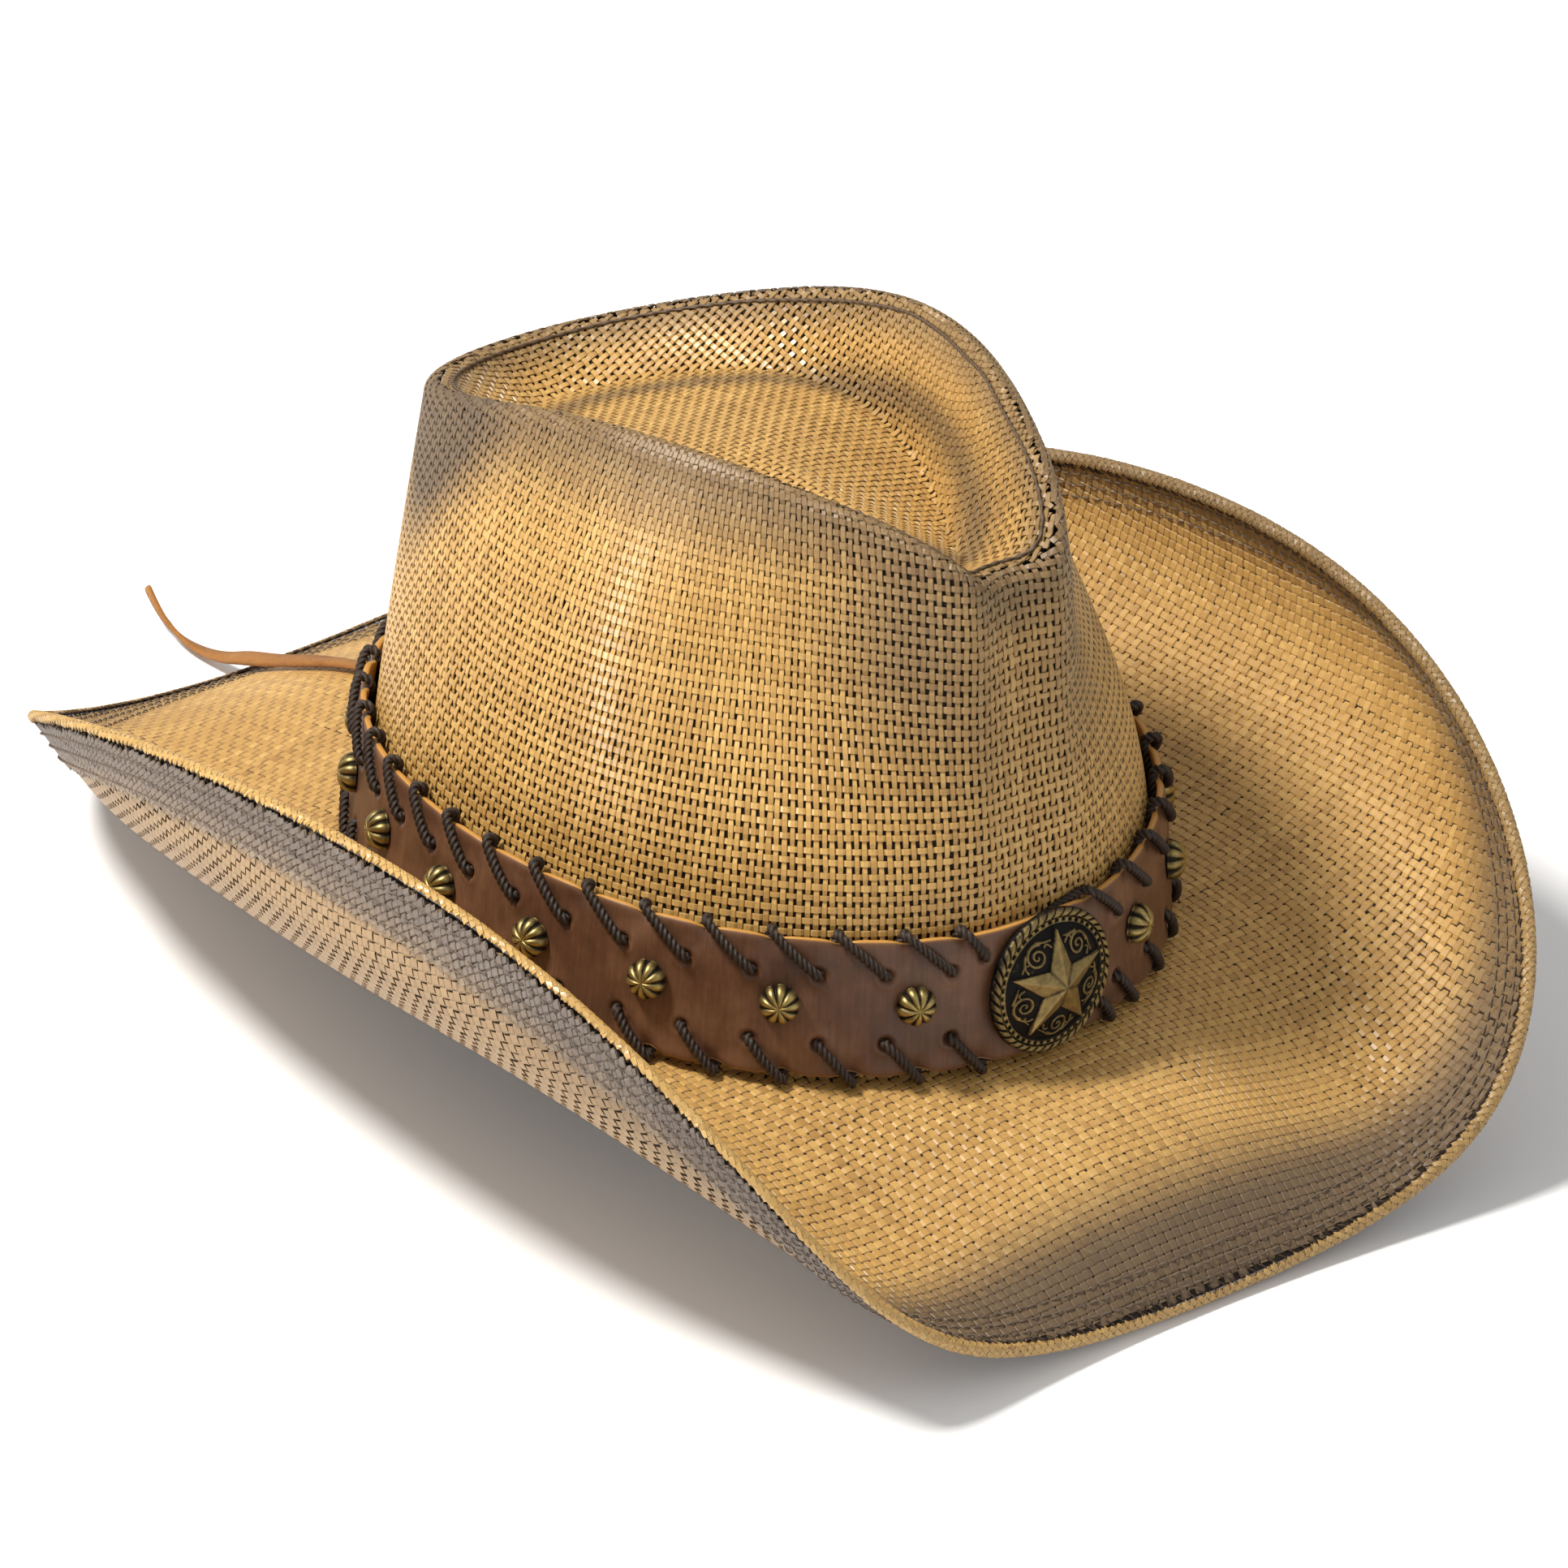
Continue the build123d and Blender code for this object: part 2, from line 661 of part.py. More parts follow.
def make_star():
    """A five-pointed star with a raised middle, as a solid that starts inside the dome."""
    top = []
    for i in range(10):
        radius, height = (STAR_RADIUS, STAR_TIP_HEIGHT) if i % 2 == 0 else (STAR_WAIST, STAR_WAIST_HEIGHT)
        turn = math.radians(90 + 36 * i)
        top.append(Vector(radius * math.cos(turn), radius * math.sin(turn), height))
    foot = [Vector(point.X, point.Y, CONCHO_WALL / 2) for point in top]
    apex = Vector(0, 0, STAR_APEX)
    faces = [Face(Wire.make_polygon(foot))]
    for i in range(10):
        j = (i + 1) % 10
        faces.append(Face(Wire.make_polygon([top[i], top[j], apex])))
        faces.append(Face(Wire.make_polygon([foot[i], foot[j], top[j], top[i]])))
    return Solid(Shell(faces))


def make_concho():
    """A domed disc with a rim and a five-pointed star, with a hollow back and a threaded boss."""
    boss = post(BOSS_RADIUS, 0, CONCHO_DOME - CONCHO_WALL / 2)
    bore = post(SCREW_RADIUS + 0.05, -1, CONCHO_DOME - CONCHO_WALL)
    return concho_disc(0) + make_star() - concho_disc(CONCHO_WALL) + boss - bore


def make_concho_screw():
    """Origin on the strap's face, head behind the strap."""
    head_top = -STRAP_THICKNESS - GAP
    head = post(SCREW_HEAD_RADIUS, head_top - SCREW_HEAD, head_top)
    shank = post(SCREW_RADIUS, head_top - SCREW_HEAD / 2, CONCHO_SEAT + CONCHO_DOME - CONCHO_WALL - 0.2)
    slot = Pos(0, 0, head_top - SCREW_HEAD) * Box(2 * SCREW_HEAD_RADIUS + 1, 0.8, 1.0)
    return head + shank - slot


def make_tie_lace():
    """The suede lace through both strap ends, with its knot outside the gap between them."""
    end = STRAP_HALF - TIE_HOLE_OFFSET
    front = TIE_THICKNESS / 2 + 1.0
    back = -STRAP_THICKNESS - TIE_THICKNESS / 2 - 0.15
    middle = on_strap(STRAP_HALF, TIE_LEVEL, 0)
    points = [
        on_strap(STRAP_HALF - 1.0, TIE_LEVEL, 3.2),
        on_strap(end, TIE_LEVEL, front),
        on_strap(end, TIE_LEVEL, back),
        on_strap(-end, TIE_LEVEL, back),
        on_strap(-end, TIE_LEVEL, front),
        on_strap(1.0 - STRAP_HALF, TIE_LEVEL, 3.2),
    ]
    flat = [Vector(p.X, p.Y, middle.Z) for p in points]
    path = FilletPolyline(*flat, radius=0.9)
    section = Plane(origin=path @ 0, x_dir=Vector(0, 0, 1), z_dir=path % 0)
    loop = sweep(section * Rectangle(TIE_WIDTH, TIE_THICKNESS), path=path)
    knot_block = Box(*KNOT_SIZE)
    knot = Pos(0, middle.Y + KNOT_STAND, middle.Z) * fillet(knot_block.edges(), KNOT_ROUNDING)
    return loop + knot


def make_tie_tail():
    """The free end of the lace, flat over the back of the brim and past its edge."""
    radii = []
    for before, here, after in zip(TAIL_ROUTE, TAIL_ROUTE[1:], TAIL_ROUTE[2:]):
        shorter = min(math.dist(before, here), math.dist(here, after))
        first = math.atan2(here[1] - before[1], here[0] - before[0])
        second = math.atan2(after[1] - here[1], after[0] - here[0])
        radii.append(0.45 * shorter / math.tan(abs(second - first) / 2))
    print("tie tail radii", [round(radius, 1) for radius in radii])
    path = FilletPolyline(*[(0, y, z) for y, z in TAIL_ROUTE], radius=radii)
    section = Plane(origin=path @ 0, x_dir=Vector(1, 0, 0), z_dir=path % 0)
    tail = sweep(section * Rectangle(TAIL_WIDTH, TAIL_THICKNESS), path=path)
    print("tie tail length", round(path.length, 1), "volume ratio",
          round(tail.volume / (path.length * TAIL_WIDTH * TAIL_THICKNESS), 4))
    return tail


def build():
    parts = {
        "crown_side": make_crown_side(),
        "crown_tip": make_crown_tip(),
        "tip_seam": make_tip_seam(),
        "sweatband": make_sweatband(),
        "sweatband_stitching": make_sweatband_stitching(),
        "brim": make_brim(),
        "brim_hem": make_brim_hem(),
        "hem_stitching": make_hem_stitching(),
        "brim_wire": make_brim_wire(),
        "edge_binding": make_edge_binding(),
        "hatband_strap": make_hatband_strap(),
        "upper_lacing": make_lacing(UPPER_SLANT),
        "lower_lacing": make_lacing(-LOWER_SLANT),
        "tie_lace": make_tie_lace(),
        "tie_tail": make_tie_tail(),
    }
    stud = make_stud()
    for number, length in enumerate(stud_lengths(), 1):
        parts[f"stud_{number:02d}"] = strap_plane(length, STUD_LEVEL, GAP).location * stud
    concho_seat = strap_plane(0, STUD_LEVEL).location
    parts["concho"] = concho_seat * Pos(0, 0, CONCHO_SEAT) * make_concho()
    parts["concho_screw"] = concho_seat * make_concho_screw()
    return parts


os.makedirs("parts", exist_ok=True)
for name, shape in build().items():
    shape.label = name
    export_step(shape, f"parts/{name}.step")
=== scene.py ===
# Looks of the western straw hat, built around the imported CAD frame.
# Shape values are in millimetres, as in the part's source, and meshes are written in metres.

import math

import bpy
import numpy as np
from mathutils import Matrix, Vector


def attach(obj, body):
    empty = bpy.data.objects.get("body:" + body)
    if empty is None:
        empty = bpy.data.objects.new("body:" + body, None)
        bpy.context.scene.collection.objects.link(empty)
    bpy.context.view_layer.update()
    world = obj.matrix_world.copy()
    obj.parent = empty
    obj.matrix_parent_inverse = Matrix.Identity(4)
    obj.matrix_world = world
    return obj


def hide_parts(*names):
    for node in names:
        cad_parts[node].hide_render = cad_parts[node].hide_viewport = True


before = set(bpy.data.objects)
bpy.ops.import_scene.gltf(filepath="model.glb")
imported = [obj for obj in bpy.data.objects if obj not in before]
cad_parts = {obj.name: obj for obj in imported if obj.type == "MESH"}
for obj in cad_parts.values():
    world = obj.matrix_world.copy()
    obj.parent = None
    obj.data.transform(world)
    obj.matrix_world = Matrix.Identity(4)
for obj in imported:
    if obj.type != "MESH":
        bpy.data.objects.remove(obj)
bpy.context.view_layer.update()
MM = 0.001
dice = np.random.default_rng(7)

# ---------------------------------------------------------------- driving dimensions

CENTRE_Y = -14.0
LIFT = 37.9
CLOTH = 1.0
GAP = 0.1

OVAL_HALF_LENGTH = 101.0
OVAL_HALF_WIDTH = 85.8
OVAL_FRONT_FULLNESS = 0.06

RIDGE_WIDTHS = (10, 21, 40, 54, 44)
RIDGE_LENGTHS = (-83, -86, -76, -36, 16, 71, 99)
RIDGE_HEIGHTS = (112.5, 114.5, 123, 130, 127, 109, 98)
FOLD_ROLL = 4.5  # a softer fold than the plain stand-in's
WALL_POWER = 1.75
PINCH_DEPTH = 6.0
PINCH_AZIMUTH = 36
PINCH_SPREAD = 26
PINCH_HEIGHT = 0.66
PINCH_RISE = 0.18

DISH_WIDTHS = (15, 29, 40, 41, 26)
DISH_LENGTHS = (-62, -50, -26, 4, 36, 62, 78)
DISH_HEIGHTS = (104, 98, 96, 101, 101, 96, 90)
DISH_CENTRE_HEIGHT = 107.0

EDGE_WIDTHS = (75, 115, 133, 132, 91)
EDGE_LENGTHS = (-167, -167, -139, -61, 53, 157, 196)
EDGE_HEIGHTS = (-36, -21, 23, 57, 48, -1, -36)
BRIM_START_SLOPES = (-6, 0, 4, -7, -5)
BRIM_EDGE_SLOPES = (-54, 93, 122, 77, -28)
BRIM_START_PULL = 0.37
BRIM_EDGE_PULL = 0.48
COLLAR_HEIGHT = 11.0
BREAK_RADIUS = 1.4

HEM_WIDTH = 10.5  # the visible hem is narrower than its plain stand-in
HEM_ROWS = (5.5, 8.8, 12.1)
CLOTH_END = 3.6  # from the brim's outermost line to where its cloth stops
WIRE_DEPTH = 1.8  # from that line in to the middle of the edge's wire
EDGE_CORE_RADII = (1.5, 1.0)
EDGE_PLAIT_RADIUS = 1.58
EDGE_STITCH_PITCH = 3.1
EDGE_STITCH_DEPTHS = (2.7, 4.3)
HEM_STITCH_PITCH = 3.4
# A dark sheet of painted shade behind the weaves, darkening the holes between strands.
SHADE_BACKING_THICKNESS = 0.08
SHADE_BACKING_DEPTH = 0.4  # below the middle of the crown's cloth
SEAM_DEPTH = 3.2  # from the ridge in to the seam of the tip
SEAM_TWIST = 5.5
SWEATBAND_HEIGHT = 32.0
SWEATBAND_INSET = 2.2
SWEATBAND_THICKNESS = 1.0
SWEATBAND_SEAM = 4.5

STRAP_THICKNESS = 1.65
STRAP_HEIGHT = 32.5
STRAP_STANDOFF = 2.25
STRAP_CLEARANCE = 3.2
STRAP_END_GAP = 6.0
LACE_RADIUS = 1.25
LACE_TWIST = 4.6
LACE_OVER = 1.4
LACE_PITCH = 15.5
LACE_HOLE_INSET = 8.0
LACE_FIRST = 25.25
LACE_SIDE_STITCHES = 18
UPPER_SLANT = 10.7
LOWER_SLANT = 8.0
NEAR_STITCH = 17.3
NEAR_INSET = 5.5
NEAR_SLANT = 5.2
LACE_BACK_STEP = 7.5
LACE_BACK_STAND = -2.6  # the cord's middle behind the strap, measured from its face
# where a stitch bends over the strap's edge, as a share of its way to the hole and a stand off the face
LACE_BENDS = ((-0.05, -0.9), (-0.05, 0.3), (0.1, 1.2), (0.5, 1.4), (0.82, 1.25))

STUD_FIRST = 34.0
STUD_PITCH = 31.0
STUDS_PER_SIDE = 9
STUD_RADIUS = 4.8
STUD_RISE = 4.2
STUD_LOBES = 9
CONCHO_RADIUS = 18.4
CONCHO_SEAT = 0.3
CONCHO_EDGE = 1.5
CONCHO_RIM_TOP = 2.1
CONCHO_RIM_SLOPE = 0.8
CONCHO_RIM = 3.2
CONCHO_DOME = 5.2
CONCHO_TRIM = 0.95  # the face is drawn a little inside its plain stand-in
CONCHO_TEETH = 46
CONCHO_ROPE_TURNS = 42
STAR_RADIUS = 14.2
STAR_WAIST = 5.6
STAR_TIP_HEIGHT = 3.5
STAR_WAIST_HEIGHT = 5.0
STAR_APEX = 7.4

TIE_WIDTH = 4.6
TIE_THICKNESS = 1.1
TIE_HOLE_OFFSET = 9.0
KNOT_STAND = 4.6
# each turn of the knot: lean, width, half sizes and skew
KNOT_TURNS = (
    (0.62, 4.4, (3.2, 1.55, 3.0), 0.0),
    (-0.75, 3.8, (3.3, 1.35, 3.1), 0.25),
    (0.05, 3.6, (2.7, 1.0, 2.7), -0.2),
)
TAIL_WIDTH = 5.5
TAIL_THICKNESS = 1.4
# y and z of the tail's bends, from the knot's underside over the brim's back edge to the tip
TAIL_ROUTE = (
    (95.4, 47.35), (95.4, 42.5), (98.2, 36.6), (104.5, 32.9), (114.5, 30.9), (127.0, 27.4),
    (141.0, 23.1), (155.0, 17.3), (168.0, 11.6), (179.0, 7.6), (187.0, 4.0), (196.5, 1.9),
    (206.0, 2.3), (213.5, 5.0), (218.5, 10.2),
)

# each weave's pitch and strand width for its two families, strand thickness and rise at a crossing
CROWN_WEAVE = {"pitch": (1.95, 2.65), "width": (1.27, 1.52), "thickness": 0.24, "lift": 0.17}
TIP_WEAVE = {"pitch": (2.0, 2.0), "width": (1.34, 1.42), "thickness": 0.24, "lift": 0.17}
BRIM_WEAVE = {"pitch": (2.3, 2.3), "width": (1.98, 2.04), "thickness": 0.26, "lift": 0.2}
HEM_WEAVE = {"pitch": (1.75, 1.75), "width": (1.58, 1.62), "thickness": 0.3, "lift": 0.22}
EDGE_WEAVE = {"pitch": (1.55, 1.55), "width": (1.3, 1.36), "thickness": 0.2, "lift": 0.08}
HEM_TURN = math.radians(38)
EDGE_TURN = math.radians(40)
STRAND_DRIFT = 0.05
STRAND_TONE_SPREAD = 0.065
STRAND_TONE_DRIFT = 0.045
NARROWEST_STRAND = -0.25
WIDEST_STRAND = 0.3
PERIMETER_LEVEL = 20.0  # height at which the crown's strands are counted round it

# the camera's angles in degrees, aim in millimetres, distance in metres and lens on a 36 mm sensor
CAMERA_AZIMUTH = -41.41
CAMERA_ELEVATION = 28.59
CAMERA_ROLL = 3.277
CAMERA_AIM = (22.28, 0.5, 45.77)
CAMERA_DISTANCE = 2.589
CAMERA_LENS = 252.66
# each light's direction to the camera's right, up and back, with its distance, watts, size and colour
LIGHTS = {
    "key": ((-0.60, 0.98, 0.72), 1.45, 43, 0.36, (1.0, 0.97, 0.92)),
    "gloss": ((-0.82, -0.02, 0.57), 1.6, 8, 0.26, (1.0, 1.0, 1.0)),
    "fill": ((0.9, 0.35, 0.9), 1.6, 3.5, 1.2, (0.95, 0.97, 1.0)),
}
SKY_STRENGTH = 0.5
FLOOR_SHADE = 0.92
FLOOR_HALF = 6000

TABLE_STEPS = 360
WALL_ROWS = 60
SHEET_ROWS = 161
SHEET_COLUMNS = 721


# ---------------------------------------------------------------- shape of the hat


def cosine_through(stations, turn):
    """A smooth curve, level at both ends, through values at equal steps of half a turn."""
    last = len(stations) - 1
    total = 0.0
    for order in range(last + 1):
        weight = sum(
            (0.5 if j in (0, last) else 1.0) * stations[j] * math.cos(math.pi * order * j / last)
            for j in range(last + 1)
        )
        total = total + (0.5 if order in (0, last) else 1.0) * 2 / last * weight * np.cos(order * turn)
    return total


def sine_through(stations, turn):
    """As cosine_through, for a half width that is zero at both ends."""
    last = len(stations) + 1
    total = 0.0
    for order in range(1, last):
        weight = sum(stations[j - 1] * math.sin(math.pi * order * j / last) for j in range(1, last))
        total = total + 2 / last * weight * np.sin(order * turn)
    return total


def unit(vectors):
    """Vectors scaled to length one along their last axis."""
    return vectors / np.maximum(np.linalg.norm(vectors, axis=-1, keepdims=True), 1e-9)


def lengths_along(points):
    """Distance travelled at each point of a path."""
    steps = np.linalg.norm(np.diff(points, axis=0), axis=1)
    return np.concatenate([[0], np.cumsum(steps)])


def read_path(values, lengths, wanted):
    """A path's points or normals at the wanted lengths."""
    return np.stack([np.interp(wanted, lengths, values[:, axis]) for axis in range(3)], axis=1)


def bump_at(value, middle, spread):
    """One at the middle, falling off smoothly on both sides."""
    return np.exp(-(((value - middle) / spread) ** 2))


def trace(widths, lengths, heights):
    """A half loop as arrays of azimuth, radius and height, from the front to the back."""
    turn = np.linspace(0.0, math.pi, TABLE_STEPS + 1)
    x = np.maximum(sine_through(widths, turn), 0.0)
    y = cosine_through(lengths, turn)
    return np.arctan2(x, -y), np.hypot(x, y), cosine_through(heights, turn)


def trace_oval():
    turn = np.linspace(0.0, math.pi, TABLE_STEPS + 1)
    x = np.maximum(OVAL_HALF_WIDTH * np.sin(turn) * (1 + OVAL_FRONT_FULLNESS * np.cos(turn)), 0.0)
    y = -OVAL_HALF_LENGTH * np.cos(turn)
    azimuth = np.arctan2(x, -y)
    return azimuth, np.hypot(x, y), -2 - 2 * np.cos(2 * azimuth) + 2 * np.cos(azimuth)


OVAL = trace_oval()
RIDGE = trace(RIDGE_WIDTHS, RIDGE_LENGTHS, RIDGE_HEIGHTS)
DISH = trace(DISH_WIDTHS, DISH_LENGTHS, DISH_HEIGHTS)
EDGE = trace(EDGE_WIDTHS, EDGE_LENGTHS, EDGE_HEIGHTS)


def wrap(azimuth):
    """The azimuth between -pi and pi."""
    return np.remainder(azimuth + math.pi, 2 * math.pi) - math.pi


def fold(azimuth):
    """The azimuth on the right half, from 0 at the front to pi at the back."""
    return np.abs(wrap(azimuth))


def look_up(loop, azimuth):
    side = fold(azimuth)
    return np.interp(side, loop[0], loop[1]), np.interp(side, loop[0], loop[2])


def place(azimuth, radius, height):
    """Points of the hat's frame from azimuths, radii and heights at the head oval."""
    return np.stack(
        [-radius * np.sin(azimuth), CENTRE_Y - radius * np.cos(azimuth), LIFT + height], axis=-1
    )


def wall_radius(azimuth, height):
    """Outer radius of the crown wall at a height above the head oval's level."""
    low_radius, low = look_up(OVAL, azimuth)
    high_radius, high = look_up(RIDGE, azimuth)
    share = np.clip((height - low) / (high - low), 0.0, 1.0)
    across = bump_at(np.degrees(fold(azimuth)), PINCH_AZIMUTH, PINCH_SPREAD)
    along = bump_at(share, PINCH_HEIGHT, PINCH_RISE)
    return low_radius + (high_radius - low_radius) * share**WALL_POWER - PINCH_DEPTH * across * along


def smooth_share(value):
    value = np.clip(value, 0.0, 1.0)
    return value * value * (3 - 2 * value)


def wall_columns(azimuth):
    """Radius and height up the crown wall and over the rolled ridge, one column an azimuth."""
    low = look_up(OVAL, azimuth)[1] + GAP
    top = look_up(RIDGE, azimuth)[1] - FOLD_ROLL
    heights = low + (top - low) * np.linspace(0, 1, WALL_ROWS)[:, None]
    radii = wall_radius(azimuth[None, :], heights)
    turn = np.radians(np.linspace(7.5, 90, 12))[:, None]
    radii = np.vstack([radii, radii[-1] - FOLD_ROLL * (1 - np.cos(turn))])
    heights = np.vstack([heights, top + FOLD_ROLL * np.sin(turn)])
    return radii, heights


def tip_columns(azimuth):
    """From the ridge down the dish wall and over its floor to the middle."""
    radii, heights = wall_columns(azimuth)
    rim, top = radii[-1] - GAP, heights[-1]
    foot_radius, foot = look_up(DISH, azimuth)
    share = np.linspace(0, 1, 40)[:, None]
    wall_r = rim + (foot_radius - rim) * share
    wall_z = top + (foot - top) * (0.5 * smooth_share(share) + 0.5 * share**1.5)
    share = np.linspace(0, 1, 31)[1:, None]
    floor_r = foot_radius * (1 - share) + 0.001
    floor_rise = 0.35 * smooth_share(share) + 0.65 * np.sin(math.pi / 2 * share)
    floor_z = foot + (DISH_CENTRE_HEIGHT - foot) * floor_rise
    return np.vstack([wall_r, floor_r]), np.vstack([wall_z, floor_z])


def brim_columns(azimuth, count=90):
    """The brim's upper face from the break to its outermost line."""
    share = np.linspace(0, 1, count)[:, None]
    start_radius, start = look_up(OVAL, azimuth)
    end_radius, end = look_up(EDGE, azimuth)
    side = fold(azimuth)
    start_slope = np.radians(cosine_through(BRIM_START_SLOPES, side))
    end_slope = np.radians(cosine_through(BRIM_EDGE_SLOPES, side))
    reach = np.hypot(end_radius - start_radius, end - start)
    first = BRIM_START_PULL * reach
    second = BRIM_EDGE_PULL * reach
    weights = ((1 - share) ** 3, 3 * share * (1 - share) ** 2, 3 * share**2 * (1 - share), share**3)
    knots_r = (start_radius, start_radius + first * np.cos(start_slope),
               end_radius - second * np.cos(end_slope), end_radius)
    knots_z = (start, start + first * np.sin(start_slope), end - second * np.sin(end_slope), end)
    radii = sum(w * k for w, k in zip(weights, knots_r))
    heights = sum(w * k for w, k in zip(weights, knots_z))
    return radii, heights


def collar_columns(azimuth):
    """The brim's upstand inside the crown, from its top round the break."""
    low = look_up(OVAL, azimuth)[1]
    rise = np.linspace(COLLAR_HEIGHT, BREAK_RADIUS, 8)[:, None]
    heights = low + rise
    radii = wall_radius(azimuth[None, :], heights) - CLOTH - GAP
    turn = np.radians(np.linspace(15, 75, 5))[:, None]
    radii = np.vstack([radii, radii[-1] + BREAK_RADIUS * (1 - np.cos(turn))])
    heights = np.vstack([heights, low + BREAK_RADIUS * (1 - np.sin(turn))])
    return radii, heights


# ---------------------------------------------------------------- sheets


class Sheet:
    """A surface as columns round the hat, with flat coordinates for laying out a weave."""

    def __init__(self, columns, inward=0.0, flipped=False, measure=None):
        self.azimuth = np.linspace(-math.pi, math.pi, SHEET_COLUMNS)
        radii, heights = columns(self.azimuth)
        points = place(self.azimuth[None, :], radii, heights)
        if measure:
            lengths = measure(radii, heights)
        else:
            steps = np.linalg.norm(np.diff(points, axis=0), axis=2)
            lengths = np.vstack([np.zeros(SHEET_COLUMNS), np.cumsum(steps, axis=0)])
        self.reach = lengths[-1]
        grid = np.empty((SHEET_ROWS, SHEET_COLUMNS, 3))
        share = np.linspace(0, 1, SHEET_ROWS)
        for column, reach in enumerate(self.reach):
            grid[:, column] = read_path(points[:, column], lengths[:, column], share * reach)
        along = np.gradient(grid, axis=0)
        padded = np.concatenate([grid[:, -2:-1], grid, grid[:, 1:2]], axis=1)
        around = np.gradient(padded, axis=1)[:, 1:-1]
        normal = unit(np.cross(along, around))
        self.normal = -normal if flipped else normal
        self.grid = grid - inward * self.normal

    def sample(self, azimuth, share):
        """Position and normal at azimuths and shares of each column's length."""
        column = (azimuth + math.pi) / (2 * math.pi) * (SHEET_COLUMNS - 1)
        row = np.clip(share, 0, 1) * (SHEET_ROWS - 1)
        c0 = np.clip(column.astype(int), 0, SHEET_COLUMNS - 2)
        r0 = np.clip(row.astype(int), 0, SHEET_ROWS - 2)
        fc = np.clip(column - c0, 0, 1)[..., None]
        fr = (row - r0)[..., None]

        def mix(table):
            low = table[r0, c0] * (1 - fc) + table[r0, c0 + 1] * fc
            high = table[r0 + 1, c0] * (1 - fc) + table[r0 + 1, c0 + 1] * fc
            return low * (1 - fr) + high * fr

        return mix(self.grid), unit(mix(self.normal))

    def reach_at(self, azimuth):
        return np.interp(azimuth, self.azimuth, self.reach)


# ---------------------------------------------------------------- mesh building


def add_mesh(name, verts, quads, material, smooth=True, uv=None, tris=None, **attributes):
    """A mesh object from millimetre points, with named float attributes on its points."""
    mesh = bpy.data.meshes.new(name)
    verts = np.asarray(verts, dtype=np.float64) * MM
    quads = np.asarray(quads, dtype=np.int32).reshape(-1, 4)
    extra = np.asarray(tris if tris is not None else [], dtype=np.int32).reshape(-1, 3)
    mesh.vertices.add(len(verts))
    mesh.vertices.foreach_set("co", verts.astype(np.float32).ravel())
    corners = np.concatenate([quads.ravel(), extra.ravel()])
    mesh.loops.add(len(corners))
    mesh.loops.foreach_set("vertex_index", corners)
    sizes = np.concatenate([np.full(len(quads), 4), np.full(len(extra), 3)]).astype(np.int32)
    mesh.polygons.add(len(sizes))
    starts = np.concatenate([[0], np.cumsum(sizes)[:-1]])
    mesh.polygons.foreach_set("loop_start", starts.astype(np.int32))
    mesh.polygons.foreach_set("loop_total", sizes)
    mesh.polygons.foreach_set("use_smooth", np.full(len(sizes), smooth))
    if uv is not None:
        layer = mesh.uv_layers.new(name="strand")
        layer.data.foreach_set("uv", np.asarray(uv, dtype=np.float32)[corners].ravel())
    for key, values in attributes.items():
        channel = mesh.attributes.new(key, "FLOAT", "POINT")
        channel.data.foreach_set("value", np.asarray(values, dtype=np.float32))
    mesh.update(calc_edges=True)
    mesh.validate()
    piece = bpy.data.objects.new(name, mesh)
    bpy.context.collection.objects.link(piece)
    mesh.materials.append(material)
    return piece


def finish_piece(piece, body, slot, *nodes):
    """Hang the piece on its body's empty and hide the CAD nodes it stands in for; the slot argument is
    not used.
    """
    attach(piece, body)
    if nodes:
        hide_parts(*nodes)
    return piece


def tube_quads(index, closed=False, outward=True):
    """Faces between the rings of a tube, whose points' numbers are the rows of index."""
    here, ahead = (index, np.roll(index, -1, axis=0)) if closed else (index[:-1], index[1:])
    beside, beyond = np.roll(here, -1, axis=1), np.roll(ahead, -1, axis=1)
    corners = (here, ahead, beyond, beside) if outward else (here, beside, beyond, ahead)
    return np.stack(corners, axis=-1).reshape(-1, 4)


def end_caps(index):
    """Triangles that close a tube on two middle points, numbered next after its own."""
    start, stop = index[0], index[-1]
    first = np.full(len(start), index.size)
    return np.vstack([np.stack([first, start, np.roll(start, -1)], axis=1),
                      np.stack([first + 1, np.roll(stop, -1), stop], axis=1)])


def path_uv(count, sides, lengths, extra=2):
    """UV for a swept piece: length along, and share round its section."""
    u = np.repeat(lengths, sides)
    v = np.tile(np.arange(sides) / sides, count)
    tail = np.array([[lengths[0], 0.5], [lengths[-1], 0.5]])[:extra]
    return np.vstack([np.stack([u, v], axis=1), tail])


def closed_skin(name, loop, material, step, slot, node):
    """A closed skin round the hat from rings of points: round the hat, then round the section."""
    count, sides = loop.shape[:2]
    index = np.arange(count * sides).reshape(count, sides)
    quads = tube_quads(index, closed=True, outward=False)
    uv = path_uv(count, sides, np.arange(count) * step, 0)
    piece = add_mesh(name, loop.reshape(-1, 3), quads, material, uv=uv)
    return finish_piece(piece, "hat", slot, node)


# across and up the outline of a flat strand, as shares of its half width and thickness
SECTION = np.array([(-1.0, 0.0), (-0.8, 1.0), (0.8, 1.0), (1.0, 0.0)])


